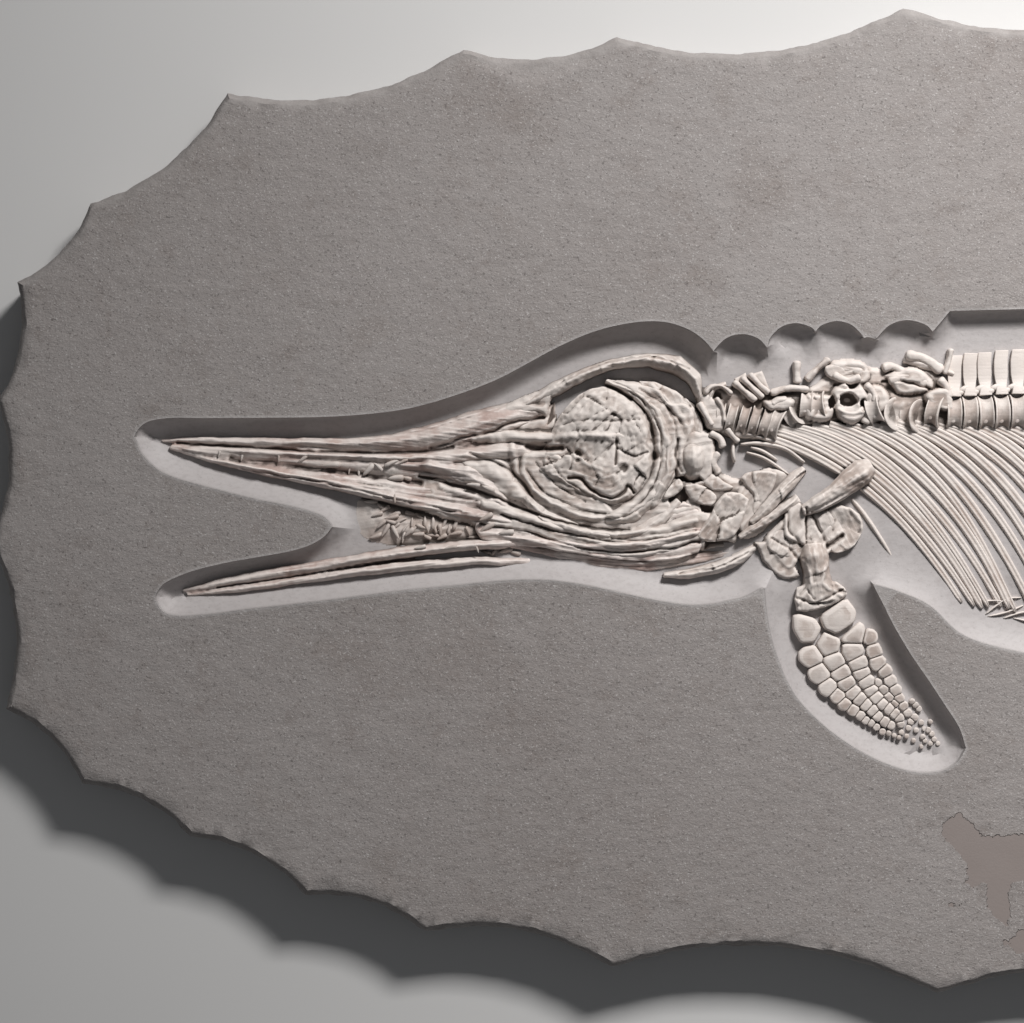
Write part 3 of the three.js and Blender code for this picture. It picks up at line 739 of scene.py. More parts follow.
CRUSHED = [  # outline in photo pixels, height over the hollow's floor in mm, how far its rim rounds off in mm
    ([(330, 460), (400, 457), (470, 440), (540, 408), (556, 400), (562, 430), (600, 440), (660, 400), (694, 402),
      (700, 430), (712, 470), (736, 500), (738, 540), (700, 552), (640, 560), (574, 551), (521, 541), (470, 526),
      (400, 506), (350, 490)], 8.5, 6),
    ([(608, 378), (640, 381), (660, 386), (670, 399), (686, 402), (697, 415), (692, 440), (678, 470), (660, 496),
      (641, 510), (619, 520), (600, 518), (636, 494), (652, 470), (654, 440), (646, 410), (630, 393)], 15.5, 5),
    ([(524, 452), (556, 450), (578, 476), (604, 500), (622, 515), (596, 521), (560, 511), (533, 493),
      (519, 472)], 12, 4),
    ([(474, 428), (551, 430), (618, 430), (620, 443), (551, 444), (474, 443)], 13, 4),
    ([(455, 458), (500, 456), (520, 480), (536, 500), (516, 502), (480, 488)], 13, 6),
    ([(480, 496), (540, 514), (600, 526), (660, 522), (706, 508), (712, 534), (660, 556), (600, 556), (530, 538),
      (480, 524)], 11.5, 5),
    ([(676, 432), (712, 430), (718, 462), (706, 486), (684, 484), (672, 462)], 14, 7),
    ([(690, 474), (716, 470), (740, 478), (756, 470), (774, 478), (764, 512), (742, 534), (716, 520),
      (698, 498)], 8, 5),
    ([(440, 428), (480, 415), (519, 398), (551, 383), (580, 370), (605, 360), (612, 362), (587, 376), (576, 375),
      (560, 387), (550, 404), (546, 422), (539, 413), (516, 416), (500, 426), (470, 430)], 14, 4),
    ([(362, 497), (400, 504), (470, 518), (500, 524), (520, 540), (480, 543), (440, 543), (404, 547), (368, 542),
      (354, 520)], 4.4, 16),
]
OPENINGS = [  # outline in photo pixels of a hole that goes down to the stone, and its slope in mm
    ([(547, 424), (552, 404), (562, 388), (576, 374), (606, 362), (612, 362), (641, 365), (659, 379), (682, 391),
      (676, 400), (660, 387), (641, 382), (609, 378), (588, 382), (577, 390), (560, 411)], 3),
    ([(670, 492), (684, 488), (690, 498), (680, 509), (671, 503)], 2.5),
    ([(700, 503), (714, 507), (712, 512), (704, 511)], 2),
    ([(706, 541), (734, 541), (732, 552), (708, 552)], 2),
    ([(676, 478), (694, 474), (704, 480), (692, 484)], 2.5),
]


def depth_inside(points, outline, spacing=1.5 * MM):
    """How far inside an outline each point lies, in metres; less than nothing outside it."""
    loop = round_loop(at(outline), spacing, corner_degrees=100)
    gap = gaps_to(tree_of(loop), points)
    return np.where(inside(points, loop), gap, -gap)


def even_grid(low, high, spacing):
    """Columns and rows of points from one corner to the other."""
    columns, rows = np.ceil((high - low) / spacing).astype(int) + 1
    across, up = np.meshgrid(np.arange(columns), np.arange(rows))
    return columns, rows, low + np.stack((across, up), axis=-1).reshape(-1, 2) * spacing


def crushed_mass(name, floor, plates, openings, relief, grain_line, seed):
    """Broken bone pressed together: overlapping plates, worked over, with holes down to the stone."""
    reach = np.vstack([at(row[0]) for row in plates])
    columns, rows, spots = even_grid(reach.min(axis=0) - 3 * MM, reach.max(axis=0) + 3 * MM, 1.15 * MM)
    heights = np.full(len(spots), -1.0)
    shaken = warped(spots)
    for number, (outline, height, rim) in enumerate(plates):
        depth = depth_inside(shaken, outline)
        climb = np.clip(depth / (rim * MM), 0, 1)
        profile = height * (climb if rim > 9 else np.sqrt(1 - (1 - climb) ** 2))
        profile += 0.9 * grain_noise(spots, 38, seed + 2.3 * number) * smooth_step(0, 4 * MM, depth)
        heights = np.maximum(heights, np.where(depth > 0, np.maximum(profile, 0.3), -1.0))
    solid = heights > 0
    gap, along = along_line(open_curve(grain_line, 6 * MM), spots)
    strands = np.column_stack((along * 14, gap * 240, np.zeros(len(spots))))
    lift = stroke_lift(spots, relief) + 1.2 * grain_noise(strands, 1.0, seed)
    lift += 1.2 * grain_noise(spots, 75, seed + 5) + 0.7 * grain_noise(spots, 190, seed + 7)
    heights += lift * smooth_step(0, 4, heights) * solid
    for outline, slope in openings:
        depth = depth_inside(shaken, outline)
        heights -= (heights - 1.0) * smooth_step(-0.4 * slope * MM, 0.6 * slope * MM, depth) * solid
    heights = np.where(solid, np.maximum(heights, 0.3), -1.0)
    corners = np.arange(columns * rows).reshape(rows, columns)
    quads = np.stack((corners[:-1, :-1], corners[:-1, 1:], corners[1:, 1:], corners[1:, :-1]), axis=-1)
    quads = quads.reshape(-1, 4)
    quads = quads[np.any(solid[quads], axis=1)]
    used, renumbered = np.unique(quads, return_inverse=True)
    mass = piece_of(name, np.column_stack((spots, floor + heights * MM))[used], renumbered.reshape(-1, 4))
    choose(mass)
    bpy.ops.object.mode_set(mode="EDIT")
    bpy.ops.mesh.select_mode(type="EDGE")
    bpy.ops.mesh.select_all(action="DESELECT")
    bpy.ops.mesh.select_non_manifold()
    bpy.ops.mesh.fill_holes(sides=0)
    bpy.ops.mesh.select_mode(type="VERT")
    bpy.ops.object.mode_set(mode="OBJECT")
    store_relief(mass)
    paint(mass, "grain", np.column_stack((along, gap, np.full(len(along), seed)))[used])
    fix(mass, pale_bone, "bone")
    return mass


crushed_bone = crushed_mass("crushed_skull_bone", HEAD_FLOOR, CRUSHED, OPENINGS, SKULL_RELIEF, JAW_GRAIN, 3.3)


def shattered(points, shard, tilt, joint, seed):
    """Heights in mm over a cracked shell: each shard tipped its own way, with open joints between."""
    chance = np.random.default_rng(seed)
    low, high = points.min(axis=0), points.max(axis=0)
    hearts = chance.uniform(low, high, (max(3, int(np.prod(high - low) / shard**2)), 2))
    tips = chance.normal(0, tilt, hearts.shape)
    steps = chance.normal(0, 4 * tilt, len(hearts))
    gaps = np.linalg.norm(warped(points)[:, None] - hearts[None], axis=2)
    nearest = np.argmin(gaps, axis=1)
    two_least = np.partition(gaps, 1, axis=1)
    lift = np.sum((points - hearts[nearest]) * tips[nearest], axis=1) / MM + steps[nearest]
    return lift - joint * (1 - smooth_step(0, 2.4 * MM, two_least[:, 1] - two_least[:, 0]))


SKULL_BONES = [  # CAD node, material, slot, roughness in mm, line that its strands follow, strands in mm
    ("snout", jaw_bone, "jaw_bone", 0.45, SNOUT_GRAIN, 0.8),
    ("skull_roof", pale_bone, "bone", 0.9, EYE_RING, 0.7),
    ("postorbital", pale_bone, "bone", 0.8, EYE_RING, 0.5),
    ("jugal", pale_bone, "bone", 0.6, EYE_RING, 0.6),
    ("eye_plates", pale_bone, "bone", 1.5, EYE_RING, 0.5),
    ("hind_jaw", jaw_bone, "jaw_bone", 0.5, JAW_GRAIN, 0.8),
    ("lower_jaw", jaw_bone, "jaw_bone", 0.45, JAW_GRAIN, 0.8),
    ("angular", pale_bone, "bone", 0.8, JAW_GRAIN, 0.6),
    ("occipital_condyle", pale_bone, "bone", 0.9, EYE_RING, 0.3),
    ("quadrate", pale_bone, "bone", 1.4, [(738, 490), (700, 540)], 0.5),
    ("stapes", pale_bone, "bone", 1.4, [(680, 500), (740, 490)], 0.4),
    ("hyoid", pale_bone, "bone", 1.4, [(680, 500), (740, 490)], 0.4),
    ("opisthotic", pale_bone, "bone", 1.4, [(680, 500), (740, 490)], 0.4),
]
skull = {}
for seed, (node, finish, slot, rough, grain, strands) in enumerate(SKULL_BONES):
    skull[node] = bone_from(node, f"{node}_bone", passes=18 if node == "skull_roof" else 6)
    if node in ("lower_jaw", "snout"):
        places = places_of(skull[node])
        tail = smooth_step(490, 546, pixels_of(places)[:, 0])
        thinning = 0.8 if node == "lower_jaw" else 0.45
        places[:, 2] = HEAD_FLOOR + (places[:, 2] - HEAD_FLOOR) * (1 - thinning * tail)
        skull[node].data.vertices.foreach_set("co", places.astype(np.float32).ravel())
    if finish is pale_bone:
        places = places_of(skull[node])
        cracked = (24 * MM, 0.07, 0.5) if node == "eye_plates" else (20 * MM, 0.05, 0.2)
        places[:, 2] += facing_up(skull[node]) * shattered(places[:, :2], *cracked, seed) * MM
        move_points(skull[node], places)
    broad = 2.2 if node == "eye_plates" else 1.2
    work(skull[node], SKULL_RELIEF, 1.3 + 1.7 * seed, rough, grain, strands, broad)
    fix(skull[node], finish, slot, node)


# Teeth
# Slender pointed teeth, shaken out of the jaws before the mud closed over them, and left lying in the
# gaps between the jaw bars.

TEETH = [  # middle in photo pixels, the way the point lies in degrees, length in pixels
    (370, 502, 190, 14), (377, 496, 160, 10), (394, 498, 95, 10), (383, 509, 205, 13), (379, 506, 150, 9),
    (393, 514, 195, 14), (391, 518, 200, 15), (419, 517, 320, 11), (411, 523, 95, 11), (433, 523, 80, 13),
    (455, 524, 70, 12), (395, 526, 215, 10), (385, 531, 245, 17), (394, 533, 290, 16), (375, 537, 205, 14),
    (408, 532, 215, 13), (417, 535, 190, 14), (433, 535, 170, 13), (404, 528, 60, 10), (420, 527, 330, 11),
    (440, 530, 285, 12), (449, 529, 70, 10), (427, 529, 300, 9), (486, 527, 205, 20), (486, 518, 215, 16),
    (506, 532, 180, 16), (420, 548, 200, 12), (450, 547, 185, 14), (477, 548, 300, 11), (486, 552, 160, 12),
    (494, 553, 245, 12), (505, 550, 190, 16), (514, 553, 170, 14), (277, 458, 262, 10), (302, 459, 225, 14),
    (330, 464, 178, 18), (368, 470, 235, 16), (378, 466, 130, 12), (391, 462, 30, 16), (402, 461, 200, 12),
    (358, 472, 280, 9), (395, 477, 176, 16), (405, 478, 170, 12), (438, 479, 178, 16), (458, 480, 172, 14),
    (473, 484, 168, 14), (488, 489, 165, 14), (240, 457, 250, 8), (218, 454, 262, 7), (348, 470, 250, 9),
    (400, 520, 30, 13), (410, 514, 340, 12), (424, 522, 100, 12), (380, 524, 215, 13), (444, 524, 250, 12),
    (402, 538, 250, 12), (425, 537, 160, 12), (441, 537, 200, 12), (389, 522, 170, 12), (414, 529, 45, 12),
    (434, 528, 110, 11), (455, 533, 185, 13), (468, 531, 300, 10), (376, 514, 190, 12), (474, 538, 190, 15),
]
jaw_ground = [BVHTree.FromObject(piece, bpy.context.evaluated_depsgraph_get())
              for piece in (slab, crushed_bone, skull["snout"], skull["hind_jaw"], skull["lower_jaw"])]


def ground(x, y, trees):
    """The height of the highest surface under a place."""
    found = [tree.ray_cast((x, y, 0.2), (0, 0, -1))[0] for tree in trees]
    return max(spot.z for spot in found if spot is not None)


TOOTH_SIDES = 7
TOOTH_RINGS = ((-0.5, 0.55), (-0.46, 0.9), (-0.2, 1.0), (0.1, 0.82), (0.34, 0.5), (0.5, 0.08))  # root to point
tooth_points = []
tooth_faces = []
for number, (u, v, lean, length) in enumerate(TEETH):
    x, y = at((u, v))
    run = Vector((math.cos(math.radians(lean)), math.sin(math.radians(lean)), 0))
    across = Vector((-run.y, run.x, 0))
    girth = (0.17 + 0.03 * math.sin(5.1 * number)) * length * PIXEL
    foot = Vector((x, y, ground(x, y, jaw_ground) + 0.55 * girth))
    first = len(tooth_points)
    for part, swell in TOOTH_RINGS:
        bend = 0.12 * (part + 0.5) ** 2 * (1 if number % 2 else -1)
        middle = foot + run * part * length * PIXEL + across * bend * length * PIXEL
        for corner in range(TOOTH_SIDES):
            turn = corner * math.tau / TOOTH_SIDES
            tooth_points.append(
                middle + across * math.cos(turn) * swell * girth + Vector((0, 0, math.sin(turn) * swell * girth))
            )
    for ring in range(len(TOOTH_RINGS) - 1):
        for corner in range(TOOTH_SIDES):
            after = (corner + 1) % TOOTH_SIDES
            low, high = first + TOOTH_SIDES * ring, first + TOOTH_SIDES * (ring + 1)
            tooth_faces.append((low + corner, low + after, high + after, high + corner))
    tooth_faces.append(tuple(first + TOOTH_SIDES - 1 - corner for corner in range(TOOTH_SIDES)))
    tooth_faces.append(tuple(len(tooth_points) - TOOTH_SIDES + corner for corner in range(TOOTH_SIDES)))
teeth = piece_of("loose_teeth", tooth_points, tooth_faces)


def outward_faces(piece):
    choose(piece)
    bpy.ops.object.mode_set(mode="EDIT")
    bpy.ops.mesh.select_all(action="SELECT")
    bpy.ops.mesh.normals_make_consistent(inside=False)
    bpy.ops.object.mode_set(mode="OBJECT")


outward_faces(teeth)
paint(teeth, "relief", np.full(len(tooth_points), 0.1))
paint(teeth, "grain", np.array([tuple(point) for point in tooth_points]))
fix(teeth, pale_bone, "bone")


# Backbone
# Short spools with hollowed ends, packed like draughtsmen, each with a low knob for its rib and a flat
# spine towards the back. The first dozen have come apart and lie tumbled behind the skull.

TRUNK_FLOOR = FACE - TRUNK_DEPTH


def pick(piece, test):
    """Selects a piece's vertices that pass a test on their place, in edit mode."""
    bpy.ops.object.mode_set(mode="OBJECT")
    for corner in piece.data.vertices:
        corner.select = bool(test(corner.co))
    for edge in piece.data.edges:
        edge.select = all(piece.data.vertices[end].select for end in edge.vertices)
    for face in piece.data.polygons:
        face.select = all(piece.data.vertices[end].select for end in face.vertices)
    bpy.ops.object.mode_set(mode="EDIT")


def add_knob(place, size, turn=0.0):
    bpy.ops.mesh.primitive_uv_sphere_add(segments=10, ring_count=6, radius=1, location=place)
    knob = bpy.context.object
    knob.scale = size
    knob.rotation_euler = (0, 0, turn)
    bpy.ops.object.transform_apply(location=True, rotation=True, scale=True)
    return knob


def add_centrum(name):
    """One spool, a unit long and two across, its axis along X."""
    bpy.ops.object.select_all(action="DESELECT")
    bpy.ops.mesh.primitive_cylinder_add(vertices=22, radius=1, depth=0.94, rotation=(0, math.pi / 2, 0))
    centrum = bpy.context.object
    centrum.name = name
    bpy.ops.object.transform_apply(location=False, rotation=True, scale=False)
    bpy.ops.object.mode_set(mode="EDIT")
    for cut in (-0.42, -0.3, 0.0, 0.3, 0.42):
        bpy.ops.mesh.select_all(action="SELECT")
        bpy.ops.mesh.bisect(plane_co=(cut, 0, 0), plane_no=(1, 0, 0))
    for reach, girth in ((0.01, 0.76), (0.31, 0.86)):
        pick(centrum, lambda spot: abs(abs(spot.x) - reach) < 0.02)
        bpy.ops.transform.resize(value=(1, girth, girth), center_override=(0, 0, 0))
    pick(centrum, lambda spot: abs(spot.x) > 0.46)
    bpy.ops.transform.resize(value=(1, 0.94, 0.94), center_override=(0, 0, 0))
    for side in (-1, 1):
        pick(centrum, lambda spot: side * spot.x > 0.46)
        bpy.ops.mesh.inset(thickness=0.2)
        bpy.ops.mesh.inset(thickness=0.3)
        bpy.ops.transform.translate(value=(-0.22 * side, 0, 0))
    bpy.ops.object.mode_set(mode="OBJECT")
    return centrum


def joined(name, pieces):
    choose(*pieces)
    bpy.ops.object.join()
    pieces[0].name = name
    return pieces[0]


def add_spine(name):
    """The plate above one spool: a narrow foot with its joint knobs, and a flat upright blade."""
    bpy.ops.object.select_all(action="DESELECT")
    bpy.ops.mesh.primitive_cube_add(size=1, location=(0.06, 2.1, 0.22))
    blade = bpy.context.object
    blade.scale = (0.95, 2.3, 0.36)
    bpy.ops.object.transform_apply(location=True, rotation=False, scale=True)
    bpy.ops.object.mode_set(mode="EDIT")
    for cut in (1.35, 1.7, 2.0, 2.7):
        bpy.ops.mesh.select_all(action="SELECT")
        bpy.ops.mesh.bisect(plane_co=(0, cut, 0), plane_no=(0, 1, 0))
    for low, high, width, thick in ((0.9, 1.2, 0.95, 1.9), (1.3, 1.4, 0.72, 1.6), (1.65, 1.75, 0.92, 1.1)):
        pick(blade, lambda spot: low < spot.y < high)
        bpy.ops.transform.resize(value=(width, 1, thick), center_override=(0.06, 0, 0.05))
    pick(blade, lambda spot: spot.y > 3.1)
    bpy.ops.transform.translate(value=(0.1, 0, 0))
    bpy.ops.mesh.select_all(action="SELECT")
    bpy.ops.mesh.bevel(offset=0.05, segments=2, affect="EDGES")
    bpy.ops.object.mode_set(mode="OBJECT")
    hind_knob = add_knob((-0.36, 1.34, 0.46), (0.42, 0.16, 0.16), 0.3)
    fore_knob = add_knob((0.4, 1.14, 0.5), (0.3, 0.16, 0.18), 0.3)
    return joined(name, [blade, hind_knob, fore_knob])


spool = add_centrum("spool")
rib_facet = add_knob((-0.1, -0.3, 0.62), (0.24, 0.3, 0.09))
spool = joined("spool", [spool, rib_facet])
spine_plate = add_spine("spine_plate")


def copy_to(pattern, matrix, name="copy"):
    """A copy with its own mesh, and its place in that mesh."""
    made = bpy.data.objects.new(name, pattern.data.copy())
    made.data.transform(matrix)
    bpy.context.collection.objects.link(made)
    return made


SPINE_LINE = [  # along the middle of the spools in photo pixels, with their half-height in pixels
    (716, 410, 15), (770, 416, 16), (812, 404, 17), (850, 396, 18), (900, 408, 18), (950, 413, 18),
    (1024, 412, 19), (1150, 410, 20), (1300, 415, 20), (1450, 430, 19), (1600, 450, 17), (1750, 470, 14),
    (1880, 488, 12), (1960, 500, 10), (2010, 516, 9), (2070, 556, 7), (2130, 604, 5), (2196, 658, 2.5),
]
spine_path = open_curve(SPINE_LINE, 1 * MM)
spine_reach = np.concatenate(([0], np.cumsum(np.linalg.norm(np.diff(spine_path, axis=0), axis=1))))
bend_reach = [spine_reach[np.argmin(np.linalg.norm(spine_path - at(row), axis=1))] for row in SPINE_LINE]


def on_spine(distance):
    """Place, direction and half-height of the backbone at a distance along it, in metres."""
    place = np.array([np.interp(distance, spine_reach, spine_path[:, axis]) for axis in (0, 1)])
    ahead = np.array([np.interp(distance + 0.004, spine_reach, spine_path[:, axis]) for axis in (0, 1)])
    behind = np.array([np.interp(distance - 0.004, spine_reach, spine_path[:, axis]) for axis in (0, 1)])
    half = np.interp(distance, bend_reach, [row[2] for row in SPINE_LINE]) * PIXEL
    return place, math.atan2(*(ahead - behind)[::-1]), half


def finish_bones(name, pieces, seed, replaced, rough=0.45, floor=TRUNK_FLOOR):
    """Joins bones, cuts off what lies in the stone, and roughens and colours the rest."""
    made = joined(name, pieces)
    bpy.ops.object.mode_set(mode="EDIT")
    bpy.ops.mesh.select_all(action="SELECT")
    bpy.ops.mesh.bisect(plane_co=(0, 0, floor - 2 * MM), plane_no=(0, 0, 1), clear_inner=True, use_fill=True)
    bpy.ops.object.mode_set(mode="OBJECT")
    places = places_of(made)
    push = grain_noise(places, 80, seed) + 0.6 * grain_noise(places, 210, seed + 3)
    places += normals_of(made) * (rough * push * (places[:, 2] > floor))[:, None] * MM
    move_points(made, places)
    store_relief(made, 8)
    paint(made, "grain", places)
    fix(made, pale_bone, "bone", *replaced)


def soften(piece):
    choose(piece)
    rounding = piece.modifiers.new("rounding", "SUBSURF")
    rounding.levels = rounding.render_levels = 1
    bpy.ops.object.modifier_apply(modifier="rounding")


soften(spool)
VERTEBRA_PITCH = 14.4 * MM
reached = 0.0
chance = random.Random(7)
for name, count, pitch, has_spines in (
    ("neck_vertebrae", 6, 0.95, False),
    ("shoulder_vertebrae", 7, 1.3, False),
    ("back_vertebrae_1", 9, 1, True),
    ("back_vertebrae_2", 9, 1, True),
    ("back_vertebrae_3", 9, 1, True),
    ("loin_vertebrae", 8, 1, True),
    ("tail_vertebrae_1", 14, 0.9, False),
    ("tail_vertebrae_2", 15, 1, False),
    ("tail_vertebrae_3", 16, 1.08, False),
):
    step = pitch * VERTEBRA_PITCH
    row = []
    for i in range(count):
        place, heading, half = on_spine(reached + (i + 0.5) * step)
        lean = heading + chance.uniform(-0.014, 0.014)
        if has_spines or name.startswith("tail"):
            stand = Matrix.Translation((*place, TRUNK_FLOOR)) @ Matrix.Rotation(lean, 4, "Z")
            girth = half * chance.uniform(0.97, 1.02)
            row.append(copy_to(spool, stand @ Matrix.Diagonal((step, girth, 0.98 * girth, 1))))
            if has_spines:
                plate_size = Matrix.Diagonal((0.9 * step, 1.02 * girth, 0.66 * girth, 1))
                row.append(copy_to(spine_plate, stand @ plate_size))
    reached += count * step
    if row:
        finish_bones(name.replace("vertebrae", "spools"), row, 30.0 + count + reached, [name])

# The tumbled ones: middle in pixels, way the axis points, tip towards the viewer, length, half-height, height.
TUMBLED = {
    "neck_vertebrae": [
        (722, 415, -8, 5, 9, 15, 9), (733, 417, -14, 6, 10, 15, 10), (745, 419, -16, 5, 10, 16, 11),
        (756, 421, -16, 6, 10, 17, 11), (767, 423, -18, 6, 11, 17, 12), (779, 424, -22, 18, 12, 18, 12),
        (796, 413, 30, 38, 12, 15, 12),
    ],
    "shoulder_vertebrae": [
        (808, 405, -6, 8, 13, 14, 13), (822, 406, 8, 20, 14, 16, 13), (878, 408, 16, 24, 15, 17, 13),
        (895, 414, 6, 58, 15, 18, 10), (918, 415, -6, 52, 15, 18, 10), (938, 411, -14, 24, 15, 18, 13),
    ],
}
for name, rows in TUMBLED.items():
    heap = []
    for u, v, heading, tip, length, half, height in rows:
        stand = Matrix.Translation((*at((u, v)), TRUNK_FLOOR + (height - 9.5) * MM))
        turn = Matrix.Rotation(math.radians(heading), 4, "Z") @ Matrix.Rotation(-math.radians(tip), 4, "Y")
        size = Matrix.Diagonal((length * PIXEL, half * PIXEL, 0.95 * half * PIXEL, 1))
        heap.append(copy_to(spool, stand @ turn @ size))
    finish_bones(name.replace("vertebrae", "spools"), heap, 44.0 + len(rows), [name], 0.6)

# Broken arches, spines and rods that lie over and behind the tumbled spools.
NECK_RODS = [  # line in photo pixels, half-width in pixels, height over the trunk's floor in mm
    ([(734, 381), (744, 390), (757, 401)], 4.6, 13), ([(742, 377), (752, 387), (764, 398)], 4.2, 14),
    ([(750, 373), (760, 384), (770, 393)], 4.2, 13), ([(705, 394), (711, 387), (722, 386), (733, 394)], 3.2, 14),
    ([(716, 397), (723, 408), (725, 422)], 3.4, 14), ([(699, 402), (705, 412), (713, 426)], 4.5, 14),
    ([(798, 360), (798, 370), (799, 383)], 5.2, 10), ([(831, 358), (820, 367), (807, 380)], 4.6, 11),
    ([(771, 393), (788, 388), (810, 389)], 4.4, 12), ([(907, 354), (926, 358), (944, 371)], 7.0, 10),
    ([(953, 348), (951, 358), (946, 374)], 3.8, 10), ([(884, 368), (894, 366), (906, 373)], 6.0, 10),
    ([(890, 381), (908, 376), (929, 384)], 6.5, 12), ([(836, 368), (850, 368), (864, 372)], 5.5, 9),
    ([(834, 374), (848, 380), (862, 377)], 5.0, 12), ([(866, 384), (874, 392), (876, 402)], 5.0, 14),
    ([(940, 378), (948, 388), (950, 398)], 6.0, 13), ([(772, 405), (779, 400), (788, 400)], 5.0, 15),
    ([(728, 428), (734, 436), (740, 442)], 3.6, 10), ([(710, 432), (720, 438), (724, 448)], 5.0, 11),
    ([(720, 452), (714, 462), (720, 474)], 5.0, 9), ([(860, 408), (868, 414), (866, 424)], 6.0, 12),
]
BLUNT_SECTION = [
    (-1.0, -0.3), (-0.95, 0.6), (-0.7, 0.9), (-0.3, 1.0), (0.3, 1.0), (0.7, 0.9), (0.95, 0.6), (1.0, -0.3),
]


def rod(path, halves, tops, floor, section):
    """Points and faces of a rod laid along a path, with a half-width and a height at each point of it."""
    ahead = np.gradient(path, axis=0)
    ahead /= np.linalg.norm(ahead, axis=1)[:, None]
    across = np.column_stack((-ahead[:, 1], ahead[:, 0]))
    rings = [
        np.column_stack((path + across * (side * halves)[:, None], floor + up * tops)) for side, up in section
    ]
    points = np.stack(rings, axis=1).reshape(-1, 3)
    corners = len(section)
    faces = [
        (low + i, low + (i + 1) % corners, low + corners + (i + 1) % corners, low + corners + i)
        for low in range(0, (len(path) - 1) * corners, corners)
        for i in range(corners)
    ]
    faces.append(tuple(range(corners)))
    faces.append(tuple(len(points) - 1 - i for i in range(corners)))
    return points, faces


neck_bits = []
for number, (points, half, top) in enumerate(NECK_RODS):
    path = open_curve(points, 1.6 * MM)
    part = np.linspace(0, 1, len(path))
    swell = (0.72 + 0.28 * np.abs(2 * part - 1) ** 1.5) * np.clip(np.sin(math.pi * part) * 6, 0.55, 1)
    tops = top * MM * (0.8 + 0.2 * swell)
    bit = piece_of("neck_bit", *rod(path, half * PIXEL * swell, tops, TRUNK_FLOOR, BLUNT_SECTION))
    outward_faces(bit)
    soften(bit)
    neck_bits.append(bit)
finish_bones("neck_rods", neck_bits, 71.0, [], 0.9)

NECK_MASS = [
    ([(698, 394), (712, 385), (735, 386), (760, 378), (772, 392), (812, 386), (830, 372), (862, 366), (884, 368),
      (908, 372), (930, 368), (946, 376), (953, 392), (953, 428), (900, 434), (880, 426), (845, 422), (815, 424),
      (790, 432), (770, 438), (740, 438), (716, 432), (702, 420)], 4.5, 6),
    ([(806, 394), (820, 392), (832, 396), (833, 418), (818, 422), (806, 417)], 13, 5),
    ([(866, 386), (884, 384), (892, 400), (884, 414), (870, 412)], 11, 5),
    ([(833, 361), (850, 358), (868, 364), (870, 380), (848, 385), (831, 376)], 8, 4),
    ([(886, 374), (912, 366), (934, 378), (930, 391), (900, 393)], 11, 4),
    ([(833, 388), (848, 382), (864, 385), (871, 408), (857, 424), (840, 420), (831, 402)], 13, 5),
    ([(926, 392), (946, 386), (954, 398), (952, 412), (930, 406)], 13, 4),
    ([(700, 396), (716, 392), (726, 404), (724, 430), (706, 426)], 10, 5),
    ([(764, 400), (786, 396), (796, 400), (790, 410), (768, 410)], 14, 4),
]
NECK_OPENINGS = [
    ([(841, 396), (848, 392), (856, 396), (857, 403), (850, 407), (842, 404)], 2),
    ([(848, 383), (855, 380), (860, 384), (853, 389)], 2),
    ([(860, 402), (866, 399), (869, 408), (862, 412)], 2),
    ([(828, 398), (834, 394), (836, 404), (830, 408)], 2),
    ([(710, 390), (720, 391), (724, 398), (716, 400)], 2),
]
NECK_RELIEF = [
    ([(812, 394), (816, 408), (812, 420)], 2, -3), ([(836, 384), (846, 388), (858, 386)], 2.4, -3),
    ([(872, 386), (878, 402), (872, 418)], 2.4, -3), ([(834, 366), (848, 372), (866, 370)], 2, -2),
    ([(884, 380), (906, 382), (930, 388)], 2, -4), ([(838, 410), (850, 414), (862, 412)], 2.5, 2),
]
crushed_mass(
    "crushed_neck_bone", TRUNK_FLOOR, NECK_MASS, NECK_OPENINGS, NECK_RELIEF, [(700, 400), (950, 400)], 6.1
)

for seed, node in enumerate(("atlas", "neural_arch", "neck_spine_1", "neck_spine_2", "loose_spine")):
    loose_bone = bone_from(node, f"{node}_bone", 1.0 * MM, 3)
    work(loose_bone, [], 50.5 + seed, 0.6, [(700, 400), (1000, 380)], 0.3)
    fix(loose_bone, pale_bone, "bone", node)


# Ribs
# Long double-ridged rods, one to each vertebra, swept back together and pressed flat over the belly,
# with the thin belly ribs crossing their ends.

RIB_COUNT = 38
CROWDED_RIBS = 6
RIB_SECTION = [
    (-1.0, -0.5), (-0.97, 0.45), (-0.78, 0.86), (-0.45, 1.0), (-0.12, 0.82), (0.14, 0.83), (0.45, 1.0), (0.8, 0.86),
    (0.97, 0.45), (1.0, -0.5),
]


def finish_rod(name, points, faces, seed, replaced=()):
    made = piece_of(name, points, faces)
    outward_faces(made)
    places = places_of(made)
    places[:, 2] += 0.25 * MM * grain_noise(places, 140, seed) * (places[:, 2] > TRUNK_FLOOR + 2 * MM)
    move_points(made, places)
    store_relief(made, 6)
    paint(made, "grain", places)
    fix(made, pale_bone, "bone", *replaced)


def rib_path(i):
    """The middle line of a rib in photo pixels."""
    start_u = 762 + 17 * i
    crowded = min(i, CROWDED_RIBS)
    end_u = 966 + 9 * crowded + 16.2 * (i - crowded)
    shortening = max(0, i - 26) / 12
    spine_v = np.interp(start_u, [row[0] for row in SPINE_LINE], [row[1] for row in SPINE_LINE])
    start_v = max(438, spine_v + 25) + CROWDED_RIBS - crowded
    end_v = 604 + 14 * math.sin(math.pi * i / RIB_COUNT) - 70 * shortening**1.5
    head = np.array((start_u - 16, start_v - 15))
    shoulder_point = np.array((start_u + 0.53 * (end_u - start_u), start_v + 10))
    tip = np.array((end_u - 40 * shortening, end_v))
    part = np.linspace(0, 1, 44)[:, None]
    return part[:, 0], (1 - part) ** 2 * head + 2 * part * (1 - part) * shoulder_point + part**2 * tip


